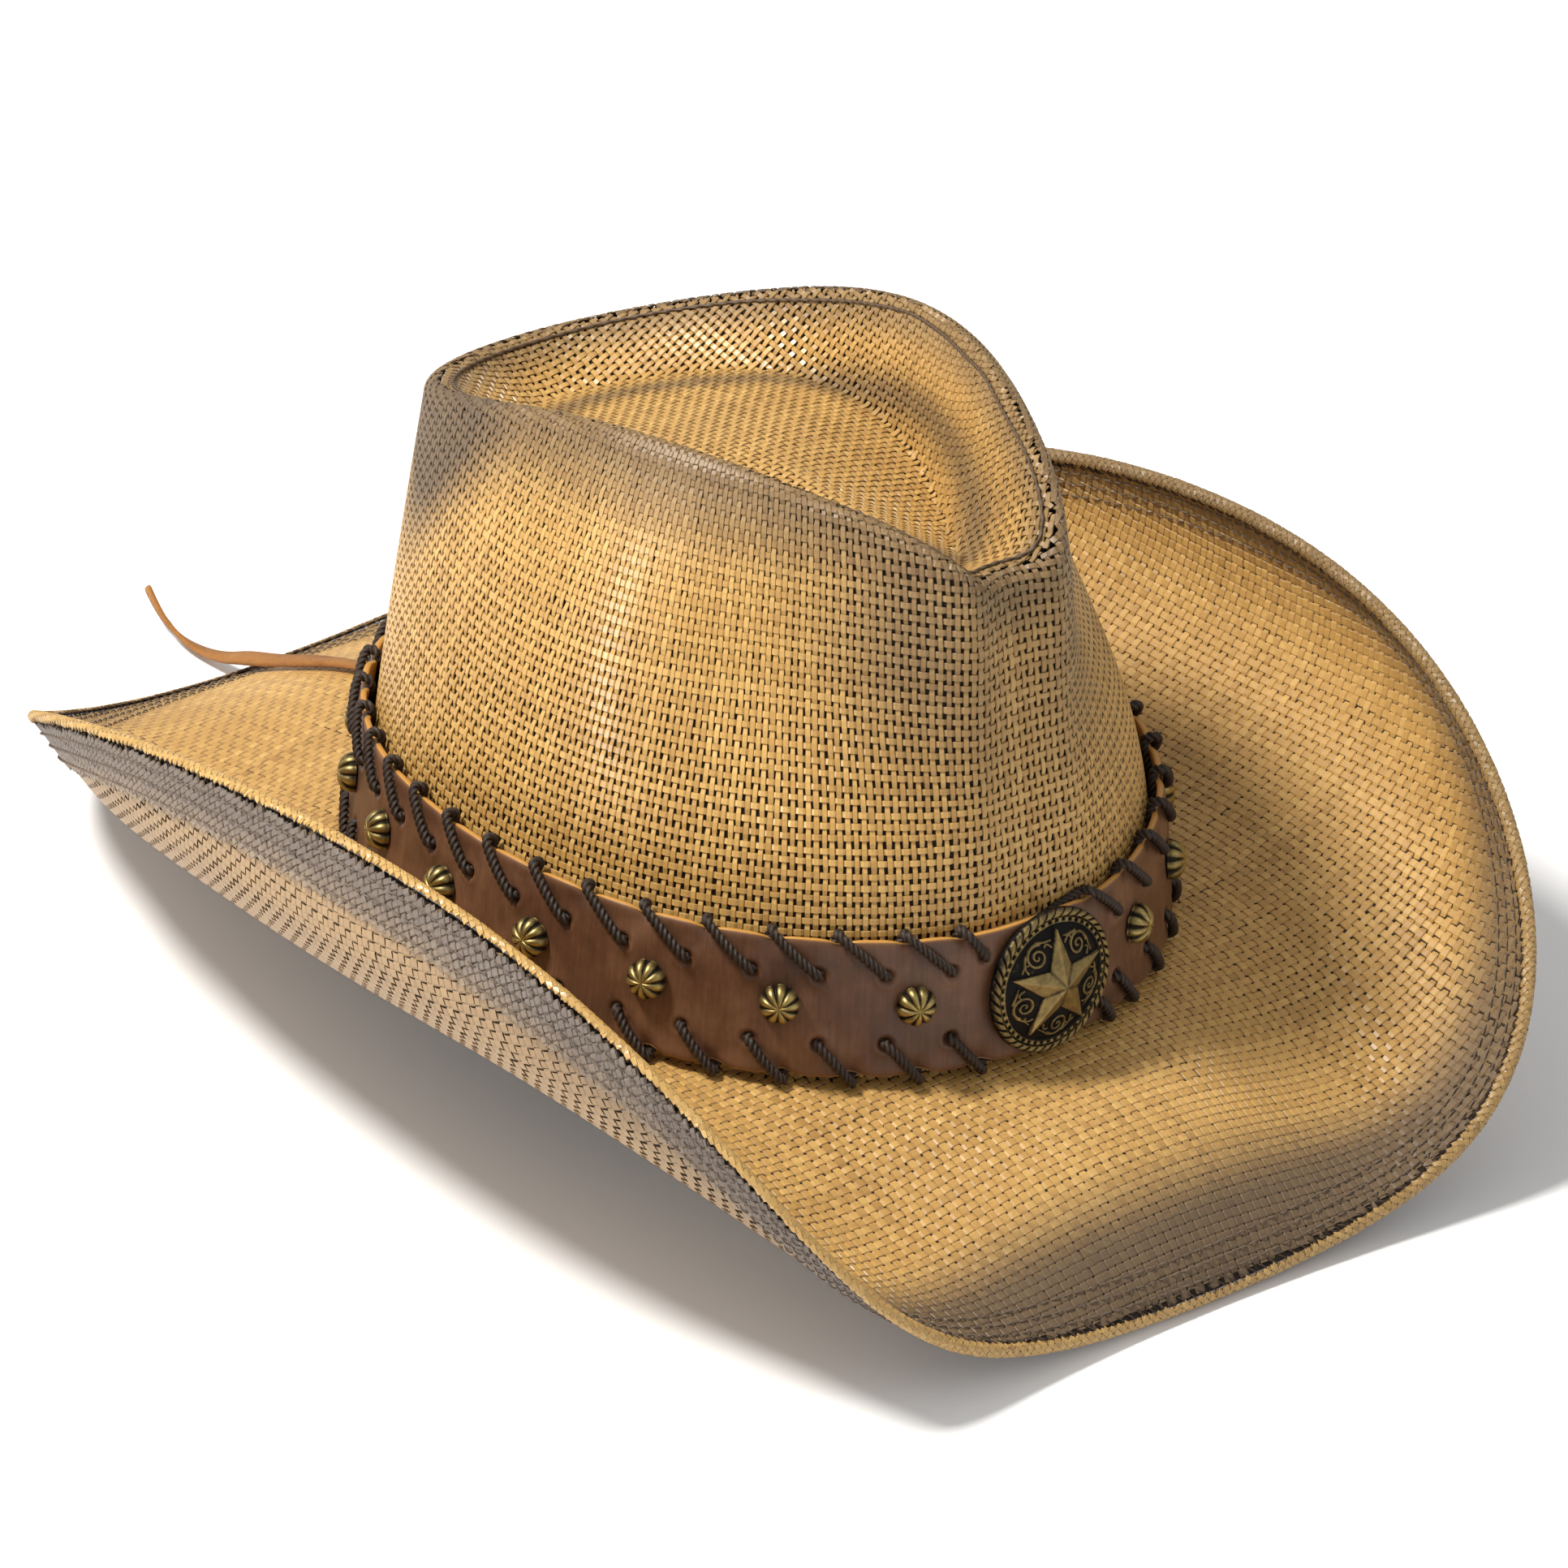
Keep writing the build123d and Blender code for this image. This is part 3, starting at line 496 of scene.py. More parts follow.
def ribbons(points, normals, inside, lift, width, thickness, shade, values):
    """Closed flat strands along each row of points, wherever the row is inside its sheet."""
    inside = inside.copy()
    inside[:, 1:-1] &= inside[:, :-2] | inside[:, 2:]
    side = unit(np.cross(normals, unit(np.gradient(points, axis=1))))
    rows, count = inside.shape
    verts = np.empty((rows, count, 4, 3))
    for k, (across, up) in enumerate(SECTION):
        rise = lift + (up - 0.5) * thickness
        verts[:, :, k] = points + side * (across * width / 2)[..., None] + normals * rise[..., None]
    index = np.arange(rows * count * 4).reshape(rows, count, 4)
    pair = inside[:, :-1] & inside[:, 1:]
    quads = []
    for k, n in ((0, 1), (1, 2), (2, 3), (3, 0)):
        corners = (index[:, :-1, k], index[:, :-1, n], index[:, 1:, n], index[:, 1:, k])
        quads.append(np.stack(corners, axis=-1)[pair])
    before = np.zeros_like(inside)
    before[:, 1:] = pair
    after = np.zeros_like(inside)
    after[:, :-1] = pair
    quads.append(index[after & ~before][:, ::-1])
    quads.append(index[before & ~after])
    quads = np.concatenate(quads)
    used, quads = np.unique(quads, return_inverse=True)
    quads = quads.reshape(-1, 4)

    def spread(value):
        return np.broadcast_to(value, (rows, count, 4)).reshape(-1)[used]

    flat = {key: spread(value[..., None]) for key, value in values.items()}
    # Painted shade: the strands' undersides and edges are darkened by this share, and their tops not at
    # all.
    flat["under"] = shade * spread(1 - SECTION[:, 1])
    steps = np.linalg.norm(np.diff(points, axis=1), axis=2)
    along = np.concatenate([np.zeros((rows, 1)), np.cumsum(steps, axis=1)], axis=1)
    uv = np.stack([spread(along[..., None]), spread(SECTION[:, 0] * 0.5 + 0.5)], axis=1)
    return verts.reshape(-1, 3)[used], quads, uv, flat


def wobble(count, size, spread):
    """Slow random drift along a strand, about zero."""
    knots = 24
    steps = dice.normal(0, 1, (count, knots))
    grid = np.linspace(0, knots - 1, size)
    low = grid.astype(int).clip(0, knots - 2)
    share = smooth_share(grid - low)
    return spread * (steps[:, low] * (1 - share) + steps[:, low + 1] * share)


def weave(name, chart, extent, material, slot, node, pitch, width, thickness, lift, turn=0.0,
          halves=True, width_spread=0.07, shade=0.75):
    """Two families of flat strands woven over and under each other on a chart of a sheet."""
    c, s = math.cos(turn), math.sin(turn)
    for family, title in enumerate(("warp", "weft")):
        own, other = pitch[family], pitch[1 - family]
        own_range, other_range = extent[family], extent[1 - family]
        lines = np.arange(math.ceil(own_range[0] / own), math.floor(own_range[1] / own) + 1)
        crossings = np.arange(math.ceil(other_range[0] / other), math.floor(other_range[1] / other) + 1)
        # each strand has two points at a crossing, where it lies level on or under the other family
        along = np.repeat(crossings * other, 2) + np.tile((-0.29 * other, 0.29 * other), len(crossings))
        over = np.repeat(crossings, 2)
        sign = np.where((lines[:, None] + over[None, :] + family) % 2 == 0, 1.0, -1.0)
        fixed = (lines * own)[:, None] + wobble(len(lines), len(along), STRAND_DRIFT * own)
        moving = np.broadcast_to(along, fixed.shape)
        u, v = (fixed, moving) if family == 0 else (moving, fixed)
        points, normals, inside, spray = chart(u * c - v * s, u * s + v * c)
        spread = dice.normal(0, width_spread, (len(lines), 1)).clip(NARROWEST_STRAND, WIDEST_STRAND)
        wide = width[family] * (1 + spread)
        wide = wide * np.where(sign > 0, 1.04, 0.94) + 0 * fixed
        tone = dice.normal(0.5, STRAND_TONE_SPREAD, (len(lines), 1))
        tone = tone + wobble(len(lines), len(along), STRAND_TONE_DRIFT)
        parts = {"": np.full(len(lines), True)}
        if halves:
            parts = {"_a": lines < np.median(lines), "_b": lines >= np.median(lines)}
        for ending, chosen in parts.items():
            verts, quads, uv, flat = ribbons(
                points[chosen], normals[chosen], inside[chosen], sign[chosen] * lift, wide[chosen],
                thickness, shade, {"tone": tone[chosen], "spray": spray[chosen]},
            )
            full_name = f"{name}_{title}{ending}"
            piece = add_mesh(full_name, verts, quads, material, smooth=False, uv=uv, **flat)
            finish_piece(piece, "hat", slot, node)


def build_shade_backing(name, sheet, depth, first, last, slot, node):
    """A thin dark skin behind a weave, from one share of its columns to another: painted shade that
    darkens the holes between the strands.
    """
    share = np.linspace(first, last, 81).round(4)[:, None]
    azimuth = np.linspace(-math.pi, math.pi, 361)[None, :-1]
    points, normals = sheet.sample(azimuth + 0 * share, share + 0 * azimuth)
    near, far = points - depth * normals, points - (depth + SHADE_BACKING_THICKNESS) * normals
    loop = np.concatenate([near, far[::-1]]).transpose(1, 0, 2)
    closed_skin(name, loop, shade_backing_paint, 1.8, slot, node)


# ---------------------------------------------------------------- materials


class Paint:
    """Short calls for building one procedural material."""

    def __init__(self, name, roughness=0.5, metallic=0.0, **sockets):
        self.material = bpy.data.materials.new(name)
        self.material.use_nodes = True
        self.tree = self.material.node_tree
        self.shader = self.tree.nodes["Principled BSDF"]
        self.shader.inputs["Roughness"].default_value = roughness
        self.shader.inputs["Metallic"].default_value = metallic
        for key, value in sockets.items():
            self.shader.inputs[key.replace("_", " ")].default_value = value

    def put(self, socket, value):
        if isinstance(value, (int, float)):
            socket.default_value = value
        elif isinstance(value, tuple):
            socket.default_value = (*value, 1.0) if len(socket.default_value) == 4 else value
        elif value is not None:
            self.tree.links.new(value, socket)

    def attribute(self, name):
        node = self.tree.nodes.new("ShaderNodeAttribute")
        node.attribute_name = name
        return node.outputs["Fac"]

    def texture(self, source, output, stretch, scale, detail, roughness):
        mapping = self.tree.nodes.new("ShaderNodeMapping")
        mapping.inputs["Scale"].default_value = stretch
        self.tree.links.new(source.outputs[output], mapping.inputs["Vector"])
        node = self.tree.nodes.new("ShaderNodeTexNoise")
        self.tree.links.new(mapping.outputs["Vector"], node.inputs["Vector"])
        node.inputs["Scale"].default_value = scale
        node.inputs["Detail"].default_value = detail
        node.inputs["Roughness"].default_value = roughness
        return node.outputs["Fac"]

    def noise(self, scale, detail, roughness, stretch=(1, 1, 1)):
        """Noise through the piece's own space, its scale per metre."""
        source = self.tree.nodes.new("ShaderNodeTexCoord")
        return self.texture(source, "Object", stretch, scale, detail, roughness)

    def streaks(self, along, across, detail, roughness):
        """Noise on the piece's UV, with one scale along it and another across."""
        source = self.tree.nodes.new("ShaderNodeUVMap")
        source.uv_map = "strand"
        return self.texture(source, "UV", (along, across, 1.0), 1.0, detail, roughness)

    def ramp(self, factor, *stops):
        node = self.tree.nodes.new("ShaderNodeValToRGB")
        self.put(node.inputs["Fac"], factor)
        elements = node.color_ramp.elements
        while len(elements) < len(stops):
            elements.new(0.5)
        for element, (position, colour) in zip(elements, stops):
            element.position = position
            element.color = (*colour, 1.0)
        return node.outputs["Color"]

    def mix(self, factor, first, second):
        node = self.tree.nodes.new("ShaderNodeMix")
        node.data_type = "RGBA"
        self.put(node.inputs["Factor"], factor)
        self.put(node.inputs["A"], first)
        self.put(node.inputs["B"], second)
        return node.outputs["Result"]

    def scaled(self, value, factor, added=0.0):
        """A value times a factor, plus a number or another value, kept between 0 and 1."""
        node = self.tree.nodes.new("ShaderNodeMath")
        node.operation = "MULTIPLY_ADD"
        node.use_clamp = True
        for socket, given in zip(node.inputs, (value, factor, added)):
            self.put(socket, given)
        return node.outputs["Value"]

    def finish(self, colour, roughness=None, height=None, strength=0.5, distance=0.0002):
        self.put(self.shader.inputs["Base Color"], colour)
        self.put(self.shader.inputs["Roughness"], roughness)
        if height is not None:
            bump = self.tree.nodes.new("ShaderNodeBump")
            bump.inputs["Strength"].default_value = strength
            bump.inputs["Distance"].default_value = distance
            self.put(bump.inputs["Height"], height)
            self.tree.links.new(bump.outputs["Normal"], self.shader.inputs["Normal"])
        return self.material


STRAW_DARK = (0.30, 0.155, 0.038)
STRAW_MIDDLE = (0.52, 0.298, 0.083)
STRAW_LIGHT = (0.72, 0.46, 0.15)
# Colour of the painted shade on the strands' undersides and edges.
STRAW_PAINTED_SHADE = (0.055, 0.030, 0.012)
# Colour of the spray; in the crown's front pinch and the dish's fold it also stands for painted shade.
SPRAY_AND_SHADE = (0.060, 0.043, 0.033)
SPRAY_DULLS = 0.22
COAT_ROUGHNESS = 0.2


def straw_material(name, dark=STRAW_DARK, middle=STRAW_MIDDLE, light=STRAW_LIGHT, spray=SPRAY_AND_SHADE,
                   roughness=0.4, gloss=0.2, under=STRAW_PAINTED_SHADE):
    """Lacquered paper straw: a tone for each strand, fibre streaks along it, dark spray that in places
    also stands for painted shade, and painted shade on the strands' undersides and edges.
    """
    paint = Paint(name, Coat_Weight=gloss, Specular_IOR_Level=0.45)
    streaks = paint.streaks(0.35, 5.0, 3.0, 0.6)
    patches = paint.noise(28.0, 3.0, 0.5)
    specks = paint.noise(900.0, 2.0, 0.7)
    tone = paint.scaled(streaks, 0.35, paint.attribute("tone"))
    tone = paint.scaled(paint.scaled(patches, 0.2, tone), 1.0, -0.27)
    bare = paint.ramp(tone, (0.15, dark), (0.5, middle), (0.85, light))
    cover = paint.scaled(specks, 0.3, paint.attribute("spray"))
    cover = paint.scaled(cover, 1.0, -0.15)
    # The painted shade colour is mixed in on the strands' undersides and edges.
    colour = paint.mix(paint.attribute("under"), paint.mix(cover, bare, spray), under)
    rough = paint.scaled(streaks, 0.3, roughness - 0.14)
    rough = paint.scaled(paint.attribute("spray"), SPRAY_DULLS, rough)
    coat = paint.scaled(paint.attribute("spray"), SPRAY_DULLS, COAT_ROUGHNESS)
    paint.put(paint.shader.inputs["Coat Roughness"], coat)
    return paint.finish(colour, rough, height=streaks, strength=0.35, distance=0.00012)


def fibre_material(name, deep, bright, roughness=0.65):
    """Spun thread or rough core fibre: fine streaks round it and lighter and darker lengths."""
    paint = Paint(name, Specular_IOR_Level=0.3)
    streaks = paint.streaks(3.0, 9.0, 3.0, 0.7)
    tone = paint.scaled(streaks, 0.6, paint.scaled(paint.noise(160.0, 3.0, 0.6), 0.4))
    colour = paint.ramp(tone, (0.35, deep), (0.65, bright))
    rough = paint.scaled(streaks, 0.2, roughness - 0.1)
    return paint.finish(colour, rough, height=streaks, strength=0.5, distance=0.00015)


def sweatband_material():
    """Dark soft lining leather with fine creases and a handled sheen."""
    paint = Paint("sweat_leather", Specular_IOR_Level=0.35)
    creases = paint.streaks(0.25, 1.3, 4.0, 0.65)
    pores = paint.noise(1400.0, 2.0, 0.6)
    colour = paint.ramp(creases, (0.3, (0.035, 0.020, 0.012)), (0.55, (0.062, 0.036, 0.021)),
                        (0.8, (0.10, 0.06, 0.035)))
    height = paint.scaled(pores, 0.5, paint.scaled(creases, 0.5))
    rough = paint.scaled(creases, 0.25, 0.42)
    return paint.finish(colour, rough, height=height, strength=0.35, distance=0.0002)


def leather_material():
    """Burnished brown strap leather: upright streaks, scuffs and a bright raw edge."""
    paint = Paint("strap_leather", Coat_Weight=0.12, Coat_Roughness=0.45, Specular_IOR_Level=0.4)
    streaks = paint.streaks(0.9, 0.07, 4.0, 0.65)
    patches = paint.noise(55.0, 4.0, 0.6)
    grain = paint.noise(1500.0, 2.0, 0.6)
    tone = paint.scaled(streaks, 0.32, paint.scaled(patches, 0.83))
    brown = paint.ramp(tone, (0.38, (0.048, 0.020, 0.009)), (0.56, (0.105, 0.044, 0.021)),
                       (0.78, (0.190, 0.090, 0.044)))
    worn = paint.mix(paint.scaled(paint.attribute("rim"), 0.5), brown, (0.15, 0.068, 0.032))
    fibres = paint.streaks(1.8, 2.5, 3.0, 0.7)
    tan = paint.ramp(fibres, (0.3, (0.38, 0.165, 0.028)), (0.7, (0.66, 0.34, 0.075)))
    colour = paint.mix(paint.attribute("raw"), worn, tan)
    height = paint.scaled(grain, 0.5, paint.scaled(streaks, 0.5))
    rough = paint.scaled(patches, 0.3, 0.33)
    return paint.finish(colour, rough, height=height, strength=0.25, distance=0.0002)


def cord_material():
    """Dark waxed cord, brighter on the crests of its strands, with painted shade near black in the
    grooves between them.
    """
    paint = Paint("waxed_cord", Coat_Weight=0.08, Coat_Roughness=0.4, Specular_IOR_Level=0.35)
    fibres = paint.streaks(0.5, 22.0, 3.0, 0.7)
    specks = paint.noise(2600.0, 2.0, 0.7)
    dark = paint.ramp(fibres, (0.3, (0.018, 0.010, 0.006)), (0.72, (0.095, 0.055, 0.034)))
    # Painted shade: near black in the grooves between the strands, where crest is low.
    crest = paint.attribute("crest")
    colour = paint.mix(paint.scaled(crest, 0.45), (0.006, 0.004, 0.003), dark)
    colour = paint.mix(paint.scaled(crest, 0.75), colour, dark)
    height = paint.scaled(fibres, 0.6, paint.scaled(specks, 0.4))
    rough = paint.scaled(specks, 0.35, 0.38)
    return paint.finish(colour, rough, height=height, strength=0.7, distance=0.0003)


def brass_material(name, bright, deep, roughness):
    """Antiqued brass: bright where handling wears it, near black in the recesses."""
    paint = Paint(name, metallic=0.9)
    tarnish = paint.noise(380.0, 4.0, 0.7)
    spots = paint.noise(1700.0, 3.0, 0.7)
    worn = paint.scaled(paint.attribute("relief"), 0.5, paint.scaled(tarnish, 0.55))
    worn = paint.scaled(paint.scaled(spots, 0.25, worn), 1.0, -0.46)
    middle = tuple(0.5 * (a + b) for a, b in zip(bright, deep))
    colour = paint.ramp(worn, (0.04, deep), (0.26, middle), (0.48, bright))
    rough = paint.scaled(worn, -0.3, roughness + 0.32)
    return paint.finish(colour, rough, height=spots, strength=0.15, distance=0.0002)


def suede_material():
    """Brushed tan suede with a short nap."""
    paint = Paint("suede", Sheen_Weight=0.08, Sheen_Roughness=0.5, Specular_IOR_Level=0.2)
    nap = paint.noise(1700.0, 4.0, 0.75)
    tone = paint.scaled(nap, 0.5, paint.scaled(paint.noise(90.0, 3.0, 0.5), 0.5))
    colour = paint.ramp(tone, (0.3, (0.20, 0.075, 0.016)), (0.5, (0.33, 0.140, 0.034)),
                        (0.75, (0.47, 0.235, 0.07)))
    rough = paint.scaled(nap, 0.2, 0.72)
    return paint.finish(colour, rough, height=nap, strength=0.8, distance=0.0004)


def plain_metal(name, colour, roughness):
    """Drawn metal with fine scratches along it."""
    paint = Paint(name, metallic=1.0)
    scratches = paint.noise(900.0, 3.0, 0.6, (1, 1, 14))
    shade = paint.ramp(scratches, (0.3, tuple(0.7 * value for value in colour)), (0.7, colour))
    return paint.finish(shade, paint.scaled(scratches, 0.2, roughness))


straw = straw_material("straw")
# The brim's painted shade on its strands' undersides and edges is a lighter grey-tan.
brim_straw = straw_material("brim_straw", roughness=0.46, gloss=0.1, under=(0.27, 0.185, 0.115))
under_straw = straw_material("hem_straw", (0.25, 0.165, 0.09), (0.40, 0.275, 0.155), (0.54, 0.385, 0.22),
                             (0.078, 0.068, 0.070), 0.42)
edge_straw = straw_material("edge_straw", (0.36, 0.20, 0.05), (0.56, 0.33, 0.09), (0.72, 0.48, 0.17),
                            roughness=0.36)
# Painted shade: the near-black sheet behind the weaves, for the holes between strands.
shade_backing_paint = fibre_material("painted_shade_backing", (0.012, 0.008, 0.005), (0.030, 0.020, 0.012), 0.9)
edge_core_paint = fibre_material("edge_core", (0.10, 0.055, 0.018), (0.26, 0.15, 0.045))
dark_thread = fibre_material("dark_thread", (0.030, 0.018, 0.012), (0.085, 0.055, 0.038))
hem_thread = fibre_material("hem_thread", (0.090, 0.066, 0.050), (0.21, 0.16, 0.12))
sweat_leather = sweatband_material()
strap_paint = leather_material()
cord_paint = cord_material()
stud_brass = brass_material("stud_brass", (0.41, 0.305, 0.11), (0.022, 0.017, 0.010), 0.2)
concho_brass = brass_material("concho_brass", (0.33, 0.235, 0.09), (0.012, 0.011, 0.010), 0.26)
suede_paint = suede_material()
steel = plain_metal("steel", (0.55, 0.55, 0.57), 0.25)
plain_brass = plain_metal("plain_brass", (0.5, 0.36, 0.15), 0.3)


# ---------------------------------------------------------------- woven sheets


def drop_by_height(radii, heights):
    """Lengths up the crown: plain height on the wall, then distance over the ridge."""
    rise = np.diff(heights, axis=0)
    steps = np.hypot(np.diff(radii, axis=0), rise)
    steps[:WALL_ROWS - 1] = rise[:WALL_ROWS - 1]
    return np.vstack([np.zeros(heights.shape[1]), np.cumsum(steps, axis=0)])


def spray_edge(distance, full, fade):
    """Spray that is full up to one distance from a line and gone at another."""
    return 1 - smooth_share((distance - full) / (fade - full))


def perimeter(height):
    """Azimuth against length round the crown, from the back round the front."""
    azimuth = np.linspace(-math.pi, math.pi, SHEET_COLUMNS)
    level = np.full(azimuth.shape, height)
    length = lengths_along(place(azimuth, wall_radius(azimuth, level), level))
    return azimuth, length - length[-1] / 2


def crown_chart(sheet):
    """Length round the crown and height up it, with spray along the ridge and at both its ends; the
    darkening at the front is partly painted shade.
    """
    azimuths, lengths = perimeter(PERIMETER_LEVEL)

    def chart(u, v):
        azimuth = np.interp(u, lengths, azimuths)
        low = look_up(OVAL, azimuth)[1] + GAP
        reach = sheet.reach_at(azimuth)
        share = (v - low) / reach
        points, normals = sheet.sample(azimuth, share)
        inside = (share >= 0) & (share <= 1) & (np.abs(u) <= lengths[-1])
        from_top = low + reach - v
        back = bump_at(np.degrees(fold(azimuth)), 138, 16)
        front = bump_at(np.degrees(fold(azimuth)), 16, 14)
        spray = (0.68 + 0.32 * back) * spray_edge(from_top, 4 + 16 * back, 30 + 28 * back)
        # Down the front pinch the darkening is partly spray and partly painted shade.
        spray = np.maximum(spray, 0.62 * front * spray_edge(from_top, 25, 80))
        return points, normals, inside, spray

    return chart, lengths[-1]


def tip_chart(sheet):
    """The tip laid flat from its middle, with spray inside the ridge, and spray with painted shade in the
    fold of the dish.
    """

    def chart(u, v):
        azimuth = np.arctan2(-u, -v)
        reach = sheet.reach_at(azimuth)
        from_rim = reach - np.hypot(u, v)
        share = from_rim / reach
        points, normals = sheet.sample(azimuth, share)
        wall = np.hypot(look_up(RIDGE, azimuth)[0] - look_up(DISH, azimuth)[0], 18.0)
        front = bump_at(fold(azimuth), 0, math.radians(40))
        # Along the fold at the foot of the dish's wall the darkening is partly spray and partly painted
        # shade.
        spray = 0.6 * bump_at(from_rim, wall * 1.02, 5.0 + 6 * front)
        spray = np.maximum(spray, 0.55 * spray_edge(from_rim, 4, 14))
        return points, normals, (share >= 0) & (share <= 1), spray

    return chart


def brim_chart(sheet, collar):
    """The brim laid flat from the middle of the hat, with spray along its edge."""

    def chart(u, v):
        azimuth = np.arctan2(-u, -v)
        reach = sheet.reach_at(azimuth)
        travel = np.hypot(u, v) - look_up(OVAL, azimuth)[0] + collar
        share = travel / reach
        points, normals = sheet.sample(azimuth, share)
        from_edge = reach - travel
        front = bump_at(fold(azimuth), 0, math.radians(52))
        spray = (0.5 + 0.42 * front) * spray_edge(from_edge, 5 + 11 * front, 18 + 25 * front)
        return points, normals, (share >= 0) & (from_edge >= CLOTH_END - 0.4), spray

    return chart


def strip_chart(sheet, spray_at):
    """Flat coordinates along the brim edge and inward from it."""
    length = lengths_along(sheet.grid[-1])
    length -= length[-1] / 2

    def chart(u, v):
        azimuth = np.interp(u, length, sheet.azimuth)
        share = 1 - v / sheet.reach_at(azimuth)
        points, normals = sheet.sample(azimuth, share)
        inside = (np.abs(u) <= length[-1]) & (share >= 0) & (share <= 1)
        return points, normals, inside, spray_at(v, azimuth)

    return chart, length[-1]


def square(reach):
    """The range of both coordinates of a flat chart round its origin."""
    return (-reach, reach), (-reach, reach)


def build_crown():
    """The crown's wall, woven upright and counted round one level."""
    sheet = Sheet(wall_columns, CLOTH / 2, measure=drop_by_height)
    chart, half = crown_chart(sheet)
    extent = ((-half, half), (-6, 134))
    weave("crown_side", chart, extent, straw, "crown_straw", "crown_side", **CROWN_WEAVE)
    # A dark sheet of painted shade behind the weave, darkening its holes.
    build_shade_backing("crown_shade_backing", sheet, SHADE_BACKING_DEPTH, 0.0, 0.97, "crown_straw", "crown_side")


def build_tip():
    """The dished top, woven as one flat cloth laid over the dish."""
    sheet = Sheet(tip_columns, CLOTH / 2)
    extent = square(sheet.reach.max() + 2)
    weave("crown_tip", tip_chart(sheet), extent, straw, "crown_straw", "crown_tip", halves=False,
          **TIP_WEAVE)
    # A dark sheet of painted shade behind the weave, darkening its holes.
    build_shade_backing("tip_shade_backing", sheet, SHADE_BACKING_DEPTH, 0.02, 1.0, "crown_straw", "crown_tip")


def whole_brim(azimuth):
    collar = collar_columns(azimuth)
    brim = brim_columns(azimuth)
    return np.vstack([collar[0], brim[0][1:]]), np.vstack([collar[1], brim[1][1:]])


def build_brim():
    """The brim and its collar, woven as one flat cloth round the head."""
    sheet = Sheet(whole_brim, CLOTH / 2, flipped=True)
    radii, heights = collar_columns(sheet.azimuth[:1])
    collar = float(np.sum(np.hypot(np.diff(radii[:, 0]), np.diff(heights[:, 0]))))
    extent = square(sheet.reach.max() + 2 + OVAL_HALF_LENGTH)
    weave("brim", brim_chart(sheet, collar), extent, brim_straw, "brim_straw", "brim", width_spread=0.04,
          **BRIM_WEAVE)
    # A dark sheet of painted shade in the middle of the weave, darkening its holes from both faces.
    build_shade_backing("brim_shade_backing", sheet, 0.0, 0.0, 0.99, "brim_straw", "brim")


def build_hem():
    """The hem's strip under the brim's edge, woven at its own angle."""
    sheet = Sheet(brim_columns, 1.5 * CLOTH + GAP, flipped=True)

    def spray_at(distance, _):
        return 0.8 * spray_edge(distance, 7, 24)

    chart, half = strip_chart(sheet, spray_at)

    def hem(u, v):
        points, normals, inside, spray = chart(u, v)
        inside &= (v > CLOTH_END - 0.5) & (v < CLOTH_END + HEM_WIDTH)
        return points, -normals, inside, spray

    weave("brim_hem", hem, square(half + 30), under_straw, "brim_straw", "brim_hem", turn=HEM_TURN,
          shade=0.35, **HEM_WEAVE)


# ---------------------------------------------------------------- camera, floor and light


def add_camera():
    """The camera, and its directions to the right, up and back."""
    azimuth, elevation, roll = map(math.radians, (CAMERA_AZIMUTH, CAMERA_ELEVATION, CAMERA_ROLL))
    back = Vector((math.sin(azimuth) * math.cos(elevation), -math.cos(azimuth) * math.cos(elevation),
                   math.sin(elevation)))
    level = Vector((math.cos(azimuth), math.sin(azimuth), 0))
    upright = back.cross(level)
    right = math.cos(roll) * level + math.sin(roll) * upright
    up = -math.sin(roll) * level + math.cos(roll) * upright
    data = bpy.data.cameras.new("camera")
    data.lens = CAMERA_LENS
    data.sensor_width = 36.0
    data.clip_end = 20.0
    camera = bpy.data.objects.new("camera", data)
    bpy.context.collection.objects.link(camera)
    turned = Matrix((right, up, back)).transposed().to_4x4()
    camera.matrix_world = Matrix.Translation(Vector(CAMERA_AIM) * MM + CAMERA_DISTANCE * back) @ turned
    bpy.context.scene.camera = camera
    return right, up, back


def add_light(name, position, power, size, colour):
    data = bpy.data.lights.new(name, "AREA")
    data.shape = "DISK"
    data.size = size
    data.energy = power
    data.color = colour
    light = bpy.data.objects.new(name, data)
    bpy.context.collection.objects.link(light)
    light.location = position
    light.rotation_euler = (Vector((0, 0, 0.05)) - position).to_track_quat("-Z", "Y").to_euler()


def add_stage():
    right, up, back = add_camera()
    floor_paint = Paint("floor", roughness=0.9, Specular_IOR_Level=0.1)
    floor_paint.finish((FLOOR_SHADE, FLOOR_SHADE, FLOOR_SHADE))
    corners = [(x * FLOOR_HALF, y * FLOOR_HALF, 0) for x, y in ((-1, -1), (1, -1), (1, 1), (-1, 1))]
    add_mesh("floor", corners, [(0, 1, 2, 3)], floor_paint.material, smooth=False)
    world = bpy.data.worlds.new("studio")
    bpy.context.scene.world = world
    world.use_nodes = True
    world.node_tree.nodes["Background"].inputs["Color"].default_value = (1.0, 1.0, 1.0, 1.0)
    world.node_tree.nodes["Background"].inputs["Strength"].default_value = SKY_STRENGTH
    for name, ((x, y, z), distance, power, size, colour) in LIGHTS.items():
        add_light(name, distance * (x * right + y * up + z * back), power, size, colour)
    bpy.context.scene.view_settings.view_transform = "Standard"


# ---------------------------------------------------------------- swept pieces


def round_section(radius, sides):
    turn = 2 * math.pi * np.arange(sides) / sides
    return np.stack([radius * np.cos(turn), radius * np.sin(turn)], axis=-1)


def flat_section(width, thickness, corner=0.35):
    """A flat strip with rounded edges, across its path and up from it."""
    half, tall = width / 2, thickness / 2
    side = [(half, 0.0), (half - corner * 0.3, tall * 0.6), (half - corner, tall), (0.0, tall)]
    upper = side + [(-x, z) for x, z in reversed(side[:-1])]
    return np.array(upper + [(x, -z) for x, z in reversed(upper[1:-1])])


